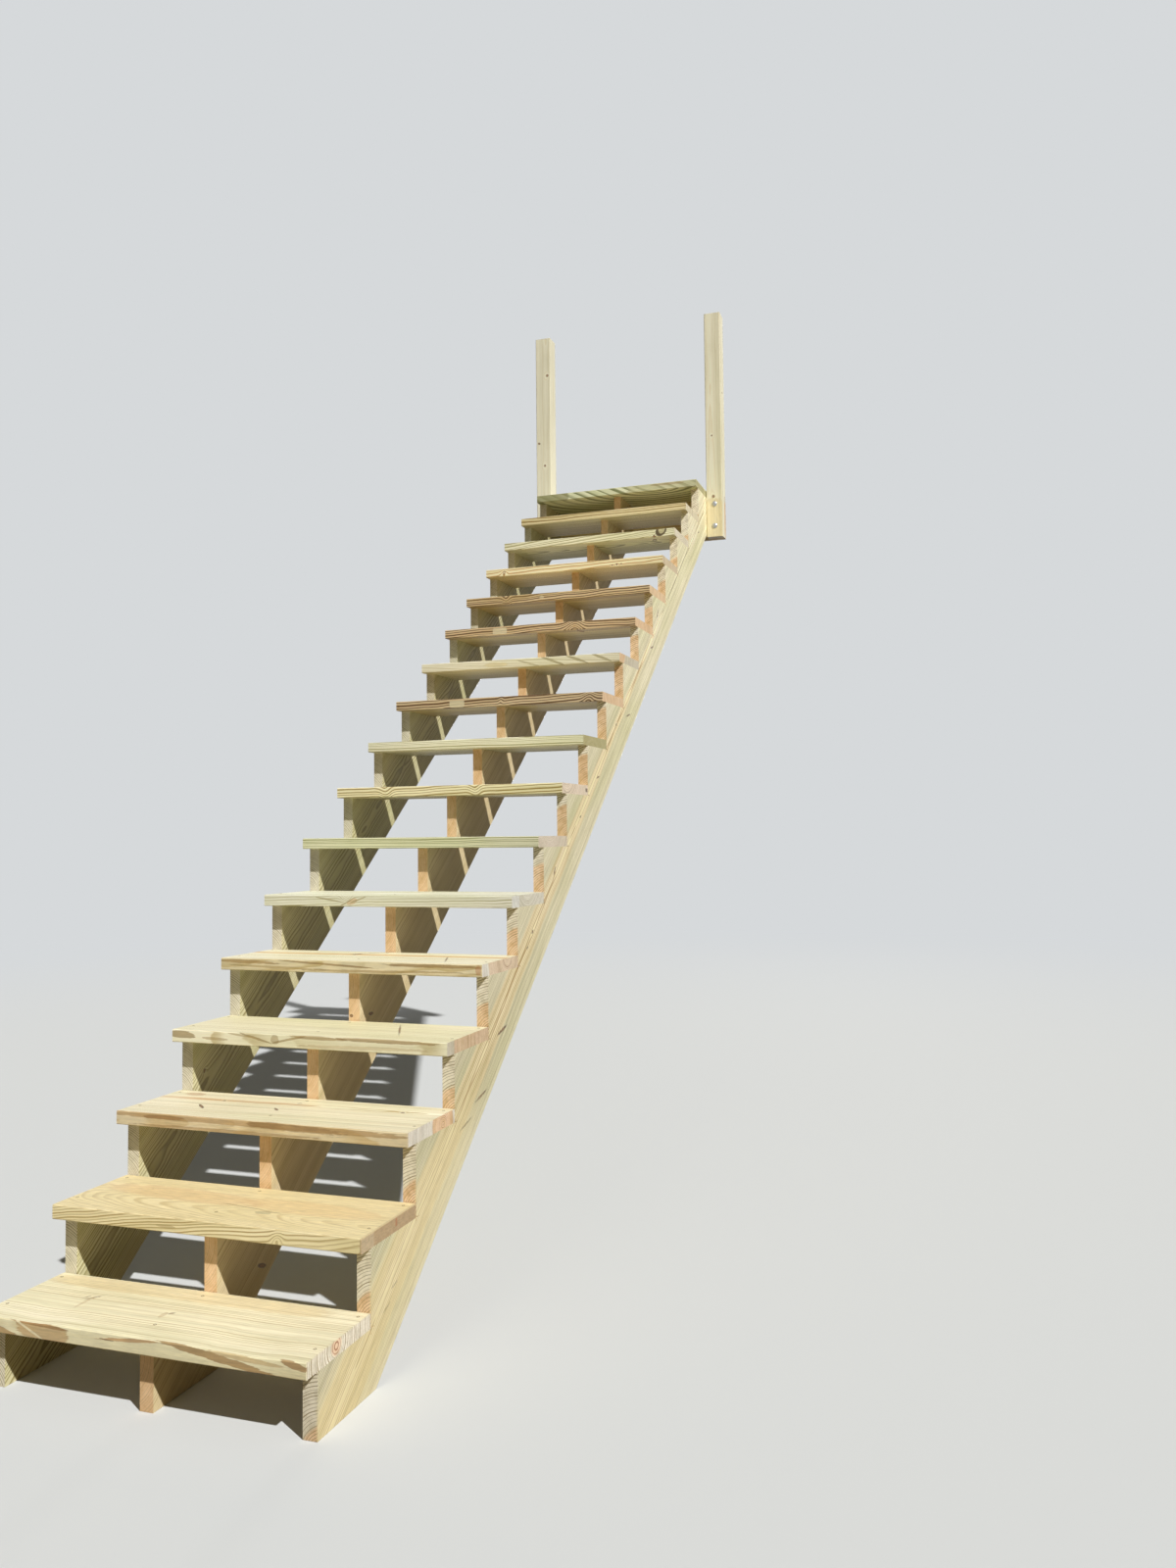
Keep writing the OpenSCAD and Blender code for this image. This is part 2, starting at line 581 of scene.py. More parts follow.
    @classmethod
    def _wood(cls) -> bpy.types.NodeTree:
        """Sapwood, heartwood, rings, fibres, knots and end grain.

        Returns:
            The group.
        """
        numbers = ("end", "growth_end", *cls.SAWN, *cls.RINGS, *cls.FIGURE)
        inputs = {"Vector": ("round",), "Float": numbers, "Color": cls.COLOURS}
        graph = Graph.group("pine", inputs, {"Color": ("colour",), "Float": ("roughness", "height")})
        take, times, plus, minus = graph.take, graph.times, graph.plus, graph.minus
        shift = graph.scale((1.7, 2.3, 3.1), take("seed"))
        place = graph.vector("ADD", take("round"), shift)
        radius, late, years = cls._rings(graph, place)
        colour = cls._colour(graph, place, cls._heart(graph, place, radius), late)
        streak, fibre = graph.noise(place, cls.LONG_STREAK), graph.noise(place, cls.FIBRE)
        shade = times(streak, take("streak"))
        for wave, strength in ((fibre, 0.24), (years, 0.55), (graph.noise(place, cls.BLOT), 0.20)):
            shade = plus(shade, times(wave, strength))
        dash = graph.step(graph.noise(place, cls.DASH), 0.17, 0.25)
        dash = times(dash, minus(1.0, take("end")))
        shade = minus(shade, times(dash, 0.10))
        bright = graph.maths("MINIMUM", plus(1.0, shade), 1.10)
        colour = graph.tint(colour, Value=bright, Saturation=minus(1.0, times(shade, 0.8)))
        branch = graph.mix(plus(0.5, graph.noise(place, cls.KNOT_WOOD)), *cls.BRANCH)
        colour = graph.mix(times(take("knot"), 0.85), colour, branch)
        colour = graph.mix(times(take("rim"), 0.9), colour, cls.BARK)
        rough = plus(minus(0.58, times(late, 0.12)), times(fibre, 0.12))
        height = plus(times(streak, 0.00035), times(fibre, 0.00022))
        height = plus(height, times(take("end"), times(fibre, 0.0003)))
        height = plus(height, times(dash, -0.00015))
        graph.give(colour=colour, roughness=rough, height=height)
        return graph.tree


def new_material(name: str) -> tuple[bpy.types.Material, Graph, bpy.types.Node]:
    """Starts a material.

    Args:
        name: Name of the material.

    Returns:
        The material, its graph and its shader.
    """
    material = bpy.data.materials.new(name)
    material.use_nodes = True
    return material, Graph(material.node_tree), material.node_tree.nodes["Principled BSDF"]


@dataclass(frozen=True)
class Pine:
    """The finish of one board: its place in the log, its rings, its colours, its knots and its marks.

    Attributes:
        seed: Picks the pattern.
        pith: Where the pith runs across and through the board, in metres.
        drift: How far the pith moves across and through for each metre along.
        stray: How far the pith wanders.
        ring: Width of a growth ring near the pith.
        tighten: How much closer the rings get, for each metre from the pith.
        wander: How wavy the rings are.
        heart: Radius of the heartwood on the planed faces.
        cut_heart: Radius of the heartwood on the sawn ends.
        taper: How much the heartwood shrinks for each metre along.
        growth: How much it grows on the sawn ends for each metre along, up to where it is widest.
        widest: How far along it is widest on the sawn ends.
        tone_and_shade_along: How much paler its planed faces get per metre along, half that on sawn ends; in part
            painted shade.
        painted_edge_light: Painted light: how much paler its narrow edges are than its broad faces; below 0,
            painted shade.
        contrast: Strength of the dark latewood.
        cut_contrast: Its strength on sawn ends.
        green: How much of the board has the treated tint.
        streak: Strength of the long streaks.
        sap: Colour of the sapwood, as the eye reads it, like the next five.
        late: Colour of its late wood.
        core: Colour of the heartwood.
        core_late: Colour of its late wood.
        sawn: Colour of the sapwood on sawn ends.
        sawn_core: Colour of the heartwood on sawn ends.
        knots: Its branches.
        marks: Its patches, the lowest first.
    """

    seed: float
    pith: Pair
    drift: Pair = (0.0, 0.0)
    stray: float = 0.012
    ring: float = 0.0088
    tighten: float = 1.0
    wander: float = 0.008
    heart: float = 0.0
    cut_heart: float = 0.0
    taper: float = 0.0
    growth: float = 0.0
    widest: float = 3.06
    tone_and_shade_along: float = 0.0
    painted_edge_light: float = 0.0
    contrast: float = 0.9
    cut_contrast: float = 1.0
    green: float = 0.3
    streak: float = 0.36
    sap: Triple = (238, 227, 188)
    late: Triple = (196, 176, 124)
    core: Triple = (232, 205, 152)
    core_late: Triple = (196, 148, 92)
    sawn: Triple = (236, 226, 204)
    sawn_core: Triple = (238, 206, 166)
    knots: tuple[Knot, ...] = ()
    marks: tuple[Mark, ...] = ()

    def _branch(self, knot: Knot) -> tuple[float, Vector]:
        """Where a knot leaves the pith, and its direction.

        Args:
            knot: The knot.

        Returns:
            The place along the board and a unit vector from the pith.
        """
        along, across, through = knot.out
        across -= self.pith[0] + self.drift[0] * along
        through -= self.pith[1] + self.drift[1] * along
        climb = knot.rise * math.hypot(across, through)
        return along - climb, Vector((climb, across, through)).normalized()

    def _grain(self, graph: Graph, groups: WoodGroups, place: Socket, ends: Socket) -> bpy.types.Node:
        """Rings and fibres about the pith, with the knots in them.

        Args:
            graph: The material's graph.
            groups: The shared node groups.
            place: Place in the board's own frame.
            ends: Where sawn ends are.

        Returns:
            The wood's node.
        """
        inputs = {"place": place, "pith": (0.0, *self.pith), "drift": (0.0, *self.drift), "stray": self.stray}
        middle = graph.node("ShaderNodeGroup", {**inputs, "seed": self.seed}, node_tree=groups.pith).outputs[0]
        found: dict[str, object] = dict.fromkeys(groups.SAWN, 0.0)
        for knot in self.knots:
            station, way = self._branch(knot)
            inputs = {"round": middle, "way": tuple(way), "station": station, **found}
            inputs |= {label: getattr(knot, label) for label in groups.KNOT}
            branch = graph.node("ShaderNodeGroup", inputs, node_tree=groups.knot)
            found = {label: branch.outputs[label] for label in found}
        inputs = {"round": middle, "end": ends, "growth_end": 3.0 * self.growth * self.widest, **found}
        inputs |= {label: getattr(self, label) for label in groups.RINGS + groups.FIGURE}
        inputs |= {label: tone(*getattr(self, label)) for label in groups.COLOURS}
        return graph.node("ShaderNodeGroup", inputs, node_tree=groups.wood)

    def material(self, name: str, lie: Lie, centre: Vector, groups: WoodGroups) -> bpy.types.Material:
        """Makes the board's material.

        Args:
            name: Name of the material.
            lie: How the board lies.
            centre: The board's own origin.
            groups: The shared node groups.

        Returns:
            The material.
        """
        material, graph, shader = new_material(name)
        where, turn = graph.node("ShaderNodeTexCoord").outputs, lie.turn()
        inputs = {"Location": centre, "Rotation": turn.to_euler(), "Vector": where["Object"]}
        place = graph.node("ShaderNodeMapping", inputs, vector_type="TEXTURE").outputs[0]
        facing = (graph.vector("DOT_PRODUCT", where["Normal"], tuple(turn.col[axis])) for axis in (0, 1))
        ends, edges = (graph.step(graph.maths("ABSOLUTE", share), 0.45, 0.85) for share in facing)
        wood = self._grain(graph, groups, place, ends)
        colour = wood.outputs["colour"]
        along, across, through = graph.split(place)
        turned = graph.join(along, through, across)
        # Painted light and shade: a paleness that changes along the board, and narrow edges made paler than the
        # broad faces, or darker where the value is below 0.
        if self.tone_and_shade_along or self.painted_edge_light:
            planed = graph.minus(1.0, graph.times(ends, 0.5))
            paler = graph.plus(1.0, graph.times(graph.times(along, self.tone_and_shade_along), planed))
            colour = graph.tint(colour, Value=graph.plus(paler, graph.times(edges, self.painted_edge_light)))
        for mark in self.marks:
            order = (0, 2, 1) if mark.broad else (0, 1, 2)
            inputs = {"colour": colour, "tint": mark.colour, "place": turned if mark.broad else place}
            inputs |= {label: tuple(getattr(mark, label)[axis] for axis in order) for label in ("centre", "half")}
            inputs |= {label: getattr(mark, label) for label in groups.MARK}
            colour = graph.node("ShaderNodeGroup", inputs, node_tree=groups.mark).outputs[0]
        relief = graph.relief(wood.outputs["height"])
        graph.feed(shader, {"Base Color": colour, "Roughness": wood.outputs["roughness"], "Normal": relief})
        return material


@dataclass(frozen=True)
class Steel:
    """Coated steel: a colour with spangle, dulled here and there.

    Attributes:
        colour: Its colour as the eye reads it.
        rough: How dull it is.
        metal: How much of it is bare metal, from 0 to 1.
    """

    colour: Triple = (196, 198, 200)
    rough: float = 0.34
    metal: float = 1.0

    SPANGLE = 420.0
    CLOUD = Wave((160.0, 160.0, 160.0), 3.0)

    def material(self, name: str) -> bpy.types.Material:
        """Makes the metal's material.

        Args:
            name: Name of the material.

        Returns:
            The material.
        """
        material, graph, shader = new_material(name)
        where = graph.node("ShaderNodeTexCoord").outputs["Object"]
        spangle = graph.node("ShaderNodeTexVoronoi", {"Vector": graph.scale(where, self.SPANGLE)})
        cloud = graph.noise(where, self.CLOUD)
        duller = tone(*(0.72 * channel for channel in self.colour))
        grey = graph.mix(graph.times(spangle.outputs["Distance"], 0.35), tone(*self.colour), duller)
        rough = graph.plus(self.rough, graph.times(cloud, 0.25))
        inputs = {"Metallic": self.metal, "Base Color": grey, "Roughness": rough}
        graph.feed(shader, {**inputs, "Normal": graph.relief(cloud, 0.0002)})
        return material


def add_object(name: str, data: bpy.types.ID) -> bpy.types.Object:
    """Puts a new object into the scene.

    Args:
        name: Name of the object.
        data: Its mesh, lamp or camera.

    Returns:
        The object.
    """
    thing = bpy.data.objects.new(name, data)
    bpy.context.scene.collection.objects.link(thing)
    return thing


def make_piece(bm: bmesh.types.BMesh, name: str, node: str | None = None) -> bpy.types.Object:
    """Turns a worked mesh into a piece of the stairs.

    Args:
        bm: The mesh, placed in the stairs' own frame.
        name: Name of the piece.
        node: The construction solid that it stands for, if any.

    Returns:
        The object, which rides on the stairs.
    """
    bmesh.ops.recalc_face_normals(bm, faces=bm.faces)
    mesh = bpy.data.meshes.new(name)
    bm.to_mesh(mesh)
    bm.free()
    mesh.polygons.foreach_set("use_smooth", [True] * len(mesh.polygons))
    mesh.set_sharp_from_angle(angle=SHARP)
    piece = add_object(name, mesh)
    flat = piece.modifiers.new("flat_faces", "WEIGHTED_NORMAL")
    flat.keep_sharp = True
    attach(piece, "root")
    if node:
        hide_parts(node)
    LOG.info("%s: %d faces", name, len(mesh.polygons))
    return piece


def ease(bm: bmesh.types.BMesh, edges: list[bmesh.types.BMEdge], radius: float, segments: int = 3) -> None:
    """Rounds edges, as a planer's eased arris.

    Args:
        bm: The mesh.
        edges: The edges to round.
        radius: Radius in metres.
        segments: Facets to the round.
    """
    bmesh.ops.bevel(
        bm, geom=edges, offset=radius, offset_type="OFFSET", segments=segments,
        profile=0.5, affect="EDGES", material=-1, clamp_overlap=True,
    )


def slab(outline: list[Pair], start: float, thick: float) -> bmesh.types.BMesh:
    """Saws a piece to an outline.

    Args:
        outline: Its corners as y and z.
        start: Its left face.
        thick: Its thickness.

    Returns:
        The mesh, in the stairs' frame.
    """
    bm = bmesh.new()
    face = bm.faces.new([bm.verts.new((start, y, z)) for y, z in outline])
    grown = bmesh.ops.extrude_face_region(bm, geom=[face])["geom"]
    bmesh.ops.translate(bm, verts=[g for g in grown if isinstance(g, bmesh.types.BMVert)], vec=(thick, 0, 0))
    bm.normal_update()
    return bm


@dataclass
class Board:
    """A straight sawn board with four eased long edges and square sawn ends.

    Attributes:
        centre: Middle of the board.
        size: Its length, width and thickness.
        lie: How it lies.
        arris: Radius of the long edges.
        bays: How many lengths it is divided into, so that its edges can waver.
        waver: How far an edge is worn back at most.
    """

    centre: Vector
    size: Triple
    lie: Lie
    arris: float = 0.003
    bays: int = 30
    waver: float = 0.0006

    def _wear(self, place: Vector, wane: tuple[Triple, ...]) -> None:
        """Wears a corner of the board back, and drops it where bark was.

        Args:
            place: The corner in the board's own frame, which is moved.
            wane: As in `mesh`.
        """
        for start, stop, deep in wane:
            if place.y < 0 < place.z and start < place.x < stop:
                depth = deep * math.sin(math.pi * (place.x - start) / (stop - start))
                depth *= 0.75 + 0.5 * noise.noise((place.x * 21, 3.3, 0))
                place += Vector((0, 0.35 * depth, -depth))
        worn = noise.noise((place.x * 8 + self.centre.z * 7, self.centre.y * 5 + place.y * 9, place.z * 90))
        place.y -= math.copysign(self.waver * (0.5 + 0.5 * worn), place.y)

    def mesh(self, wane: tuple[Triple, ...] = ()) -> bmesh.types.BMesh:
        """Cuts the board and places it.

        Args:
            wane: Places along the front upper edge where bark was: start, end and depth.

        Returns:
            The board's mesh, in the stairs' frame.
        """
        length = self.size[0]
        bm = bmesh.new()
        bmesh.ops.create_cube(bm, size=1.0)
        bmesh.ops.scale(bm, vec=self.size, verts=bm.verts)
        for bay in range(1, self.bays):
            cut = (-length / 2 + length * bay / self.bays, 0, 0)
            bmesh.ops.bisect_plane(bm, geom=[*bm.verts, *bm.edges, *bm.faces], plane_co=cut, plane_no=(1, 0, 0))
        for vert in bm.verts:
            self._wear(vert.co, wane)
        arrises = [
            edge for edge in bm.edges
            if abs(edge.verts[0].co.x - edge.verts[1].co.x) > 1e-4 and len(edge.link_faces) == 2
            and edge.link_faces[0].normal.dot(edge.link_faces[1].normal) < 0.5
        ]
        ease(bm, arrises, self.arris)
        bmesh.ops.rotate(bm, verts=bm.verts, cent=(0, 0, 0), matrix=self.lie.turn())
        bmesh.ops.translate(bm, verts=bm.verts, vec=self.centre)
        return bm


class Side(Enum):
    """The sides of a tread that show marks."""

    EDGE = "front edge"
    TOP = "top"
    END = "right-hand end"


class TreadWood:
    """The seventeen tread boards' finishes, foot first, as the photograph shows each one."""

    FRONT = -FLIGHT.plank_depth / 2
    END = FLIGHT.half_width
    TOP = FLIGHT.plank / 2
    SPLIT = (96, 70, 44)

    @classmethod
    def mark(
        cls, side: Side, first: float, second: float, half: Pair, colour: Triple, strength: float,
        *shape: float,
    ) -> Mark:
        """A mark on one side of a tread.

        Args:
            side: The side it is on.
            first: Its place along the tread, or on the end behind the tread's middle.
            second: Its height above the middle, or on the top behind the tread's middle.
            half: Half its size in the same two directions.
            colour: Colour as the eye reads it.
            strength: How much it tints.
            shape: Its raggedness, lean and squareness, as far as they aren't a Mark's usual ones.

        Returns:
            The mark.
        """
        centre, size = {
            Side.EDGE: ((first, cls.FRONT, second), (half[0], 0.004, half[1])),
            Side.TOP: ((first, second, cls.TOP), (*half, 0.003)),
            Side.END: ((cls.END, first, second), (0.003, *half)),
        }[side]
        return Mark(centre, size, tone(*colour), strength, *shape, broad=side is Side.TOP)

    @classmethod
    def swell(cls, along: float, through: float, size: float) -> Knot:
        """A grown-over branch under the front edge, which makes the grain there rise in hills."""
        return Knot((along, cls.FRONT, through), size, 0.2, 0.0, 0.0)

    @classmethod
    def first_six(cls) -> tuple[Pine, ...]:
        """The finishes of the treads whose tops are seen.

        Returns:
            Six finishes, foot first.
        """
        high, swell = cls.TOP, cls.swell
        edge, top, end = (partial(cls.mark, side) for side in Side)
        # A positive edge light makes a tread's front edge paler than its top: painted light.
        return (
            # Tread 1: bark left along the front, straight grain on top.
            Pine(
                seed=1.3, pith=(-0.017, 0.005), drift=(0.006, 0.0), stray=0.003, ring=0.0085, tighten=0.3,
                wander=0.0014, heart=0.004, cut_heart=0.024, contrast=0.8, cut_contrast=1.9, green=0.35,
                streak=1.0, sap=(247, 240, 210), late=(194, 168, 110), core_late=(206, 140, 96),
                sawn=(246, 239, 222), sawn_core=(244, 216, 186),
                knots=(
                    Knot((-0.256, 0.03, high), 0.0026, 0.9, 0.7), Knot((-0.003, 0.0, high), 0.003, 0.9, 0.6),
                    Knot((-0.277, 0.03, high), 0.0014, 0.4, 0.6),
                ),
                marks=(
                    top(-0.262, -0.004, (0.005, 0.036), (186, 156, 106), 0.5, 0.6),
                    top(-0.018, -0.015, (0.007, 0.017), (184, 152, 104), 0.5, 0.6),
                    top(0.0, 0.0, (0.5, 0.17), (240, 230, 194), 0.25, 1.2, 0.0, 8.0),
                    top(-0.05, 0.105, (0.42, 0.034), (224, 198, 142), 0.4, 1.8, 0.0, 4.0),
                    # Whole front edge: its cream tint, made paler to paint the light on the front.
                    edge(0.0, 0.0, (0.5, 0.03), (236, 227, 186), 0.6, 0.6, 0.0, 6.0),
                    edge(-0.41, -0.006, (0.075, 0.0075), (180, 144, 90), 0.8, 1.8, -0.17),
                    edge(-0.262, 0.0, (0.078, 0.02), (190, 154, 102), 0.7, 2.2, -0.07, 4.0),
                    edge(-0.27, 0.014, (0.085, 0.004), (152, 112, 62), 0.7, 1.8, -0.03),
                    edge(-0.302, 0.0, (0.05, 0.0032), (240, 230, 194), 0.85, 1.2, -0.43),
                    edge(-0.02, 0.01, (0.085, 0.004), (192, 146, 94), 0.75, 2.0, 0.07),
                    edge(-0.075, 0.0045, (0.026, 0.0018), cls.SPLIT, 0.6, 1.8, -0.06),
                    edge(0.225, 0.001, (0.16, 0.0085), (162, 124, 70), 0.8, 2.2, -0.13),
                    edge(0.3, 0.008, (0.1, 0.006), (200, 168, 112), 0.6, 2.0, -0.05),
                    edge(0.43, 0.01, (0.04, 0.008), (160, 120, 70), 0.8, 2.0, -0.2),
                ),
            ),
            # Tread 2: heartwood, stained on top.
            Pine(
                seed=2.6, pith=(-0.05, -0.075), drift=(-0.03, 0.09), stray=0.024, ring=0.0066, wander=0.007,
                heart=0.5, cut_heart=0.5, tone_and_shade_along=-0.05, painted_edge_light=0.06, contrast=1.1, cut_contrast=0.2, green=0.4,
                streak=0.5, core=(242, 229, 184), core_late=(176, 150, 92), sawn_core=(192, 166, 130),
                knots=(
                    Knot((-0.293, 0.055, high), 0.0022, 0.4, 0.3),
                    Knot((-0.002, -0.063, high), 0.0018, 0.4, 0.4),
                    Knot((0.118, -0.041, high), 0.003, 0.5, 0.2, 0.6), swell(0.225, -0.01, 0.006),
                ),
                marks=(
                    end(0.0, 0.0, (0.16, 0.06), (184, 158, 122), 0.75, 0.3, 0.0, 6.0),
                    end(-0.11, 0.0, (0.03, 0.03), (206, 190, 158), 0.5, 1.0, 0.0, 6.0),
                    end(0.036, 0.004, (0.004, 0.01), (176, 104, 62), 0.6, 1.0),
                    top(0.0, 0.0, (0.5, 0.17), (234, 216, 168), 0.66, 0.6, 0.0, 8.0),
                    top(-0.18, 0.03, (0.26, 0.05), (224, 180, 126), 0.32, 2.2, -0.05),
                    top(0.22, 0.02, (0.22, 0.05), (230, 190, 132), 0.3, 2.2, -0.05),
                    top(0.118, -0.041, (0.024, 0.011), (184, 174, 136), 0.65, 1.8),
                    top(0.05, -0.014, (0.085, 0.002), (146, 120, 72), 0.7, 1.2, -0.14),
                    top(0.13, -0.03, (0.035, 0.0018), (138, 112, 70), 0.7, 1.2, -0.1),
                    edge(-0.1, -0.004, (0.03, 0.004), (176, 152, 98), 0.5, 2.0),
                ),
            ),
            # Tread 3: brown edge, five small knots.
            Pine(
                seed=3.2, pith=(0.06, -0.004), drift=(0.02, -0.01), stray=0.01, ring=0.0056, wander=0.005,
                heart=0.02, cut_heart=0.066, contrast=1.1, cut_contrast=1.5, streak=0.5, sap=(249, 243, 216),
                late=(196, 170, 112), core_late=(196, 134, 92), sawn=(238, 233, 222), sawn_core=(240, 206, 164),
                knots=(
                    Knot((-0.262, -0.026, high), 0.0034, 1.0, 0.9),
                    Knot((-0.238, 0.051, high), 0.003, 0.8, 0.9), Knot((-0.024, -0.007, high), 0.003, 0.9, 0.8),
                    Knot((0.338, 0.061, high), 0.0034, 0.9, 0.9), Knot((-0.002, 0.08, high), 0.002, 0.9, 0.8),
                ),
                marks=(
                    top(-0.375, 0.102, (0.034, 0.018), (182, 132, 96), 0.45, 1.2),
                    # Whole front edge: its tan tint, made paler to paint the light on the front.
                    edge(0.0, 0.0, (0.5, 0.03), (224, 201, 156), 0.65, 0.6, 0.0, 6.0),
                    edge(-0.02, 0.011, (0.47, 0.008), (178, 140, 86), 0.65, 2.4, -0.006, 4.0),
                    edge(-0.3, 0.01, (0.07, 0.006), (152, 114, 66), 0.65, 2.0, 0.02),
                    edge(0.12, 0.008, (0.16, 0.009), (160, 124, 72), 0.6, 2.4, -0.03),
                    edge(-0.1, -0.013, (0.3, 0.004), (172, 136, 84), 0.6, 2.2),
                    edge(-0.04, -0.003, (0.28, 0.004), (232, 212, 168), 0.6, 2.0, -0.01),
                ),
            ),
            # Tread 4: slanting bark stains.
            Pine(
                seed=4.9, pith=(0.28, 0.01), drift=(-0.02, 0.01), ring=0.0052, tighten=0.0, wander=0.004,
                heart=0.01, cut_heart=0.37, painted_edge_light=0.08, cut_contrast=1.6, green=0.35, streak=0.5,
                sap=(245, 239, 208), late=(190, 170, 112), core_late=(186, 134, 94), sawn=(212, 204, 186),
                sawn_core=(222, 196, 160),
                knots=(Knot((0.21, 0.05, high), 0.0022, 0.5, 0.5),),
                marks=(
                    edge(-0.425, 0.005, (0.05, 0.011), (166, 138, 84), 0.75, 1.8, -0.05),
                    edge(-0.305, -0.003, (0.045, 0.0045), (174, 146, 92), 0.6, 2.0, -0.02),
                    edge(-0.165, 0.005, (0.055, 0.0036), (158, 132, 78), 0.7, 1.4, -0.24),
                    edge(-0.205, 0.01, (0.06, 0.003), (178, 154, 100), 0.6, 1.4, -0.1),
                    edge(-0.098, 0.004, (0.014, 0.013), (166, 140, 88), 0.55, 1.6, 0.0),
                    edge(-0.05, 0.006, (0.055, 0.0036), (158, 130, 76), 0.7, 1.4, 0.22),
                    edge(0.04, 0.014, (0.1, 0.005), (170, 138, 86), 0.65, 2.2, -0.02),
                    edge(0.27, 0.014, (0.17, 0.0055), (162, 128, 76), 0.7, 2.4, -0.01),
                    edge(0.2, -0.008, (0.22, 0.006), (200, 176, 126), 0.45, 2.4, 0.01),
                ),
            ),
            # Tread 5: two knots side by side.
            Pine(
                seed=5.4, pith=(0.05, 0.02), drift=(0.02, 0.02), stray=0.014, ring=0.0056, wander=0.006,
                heart=0.02, cut_heart=0.15, contrast=1.0, cut_contrast=1.5, streak=0.5, sap=(252, 247, 222),
                late=(196, 176, 120), core_late=(196, 140, 94), sawn=(240, 236, 226), sawn_core=(232, 212, 182),
                knots=(
                    Knot((-0.086, 0.046, high), 0.003, 1.2, 1.0), Knot((-0.063, 0.083, high), 0.003, 1.2, 1.0),
                    Knot((0.3, -0.06, high), 0.002, 0.4, 0.5),
                ),
                marks=(
                    top(-0.075, 0.064, (0.01, 0.022), (118, 84, 48), 0.6, 1.4),
                    # Whole front edge: its tan tint, made paler to paint the light on the front.
                    edge(0.0, 0.0, (0.5, 0.03), (224, 203, 152), 0.6, 0.6, 0.0, 6.0),
                    edge(-0.36, 0.009, (0.11, 0.006), (168, 134, 78), 0.7, 2.2, -0.02),
                    edge(-0.06, 0.007, (0.18, 0.0032), (150, 118, 66), 0.75, 1.6, -0.05),
                    edge(0.3, 0.011, (0.16, 0.0055), (158, 124, 68), 0.75, 2.2, 0.0),
                    edge(0.12, -0.01, (0.3, 0.004), (174, 142, 86), 0.6, 2.4, 0.01),
                    edge(-0.25, -0.006, (0.16, 0.004), (180, 152, 94), 0.6, 2.2, -0.02),
                    edge(0.446, 0.002, (0.01, 0.015), (190, 126, 80), 0.5, 1.4),
                ),
            ),
            # Tread 6: a hill in the grain of the edge.
            Pine(
                seed=6.1, pith=(-0.01, 0.075), drift=(0.01, 0.01), stray=0.01, ring=0.0058, wander=0.005,
                cut_heart=0.04, tone_and_shade_along=-0.13, painted_edge_light=0.03, cut_contrast=1.2, green=0.6, sap=(246, 244, 226),
                late=(176, 168, 116), sawn=(232, 226, 210),
                knots=(swell(-0.14, 0.014, 0.008),),
                marks=(
                    edge(-0.118, -0.002, (0.02, 0.01), (214, 170, 108), 0.5, 1.0, 0.3),
                    edge(-0.2, 0.003, (0.06, 0.0026), (164, 150, 96), 0.7, 1.0, -0.16),
                    edge(-0.142, -0.007, (0.026, 0.0026), (164, 146, 92), 0.7, 1.0, 0.5),
                    edge(-0.095, 0.004, (0.034, 0.0026), (166, 150, 96), 0.7, 1.0, 0.35),
                    end(-0.11, 0.0, (0.03, 0.03), (226, 226, 220), 0.6, 0.3, 0.0, 6.0),
                ),
            ),
        )

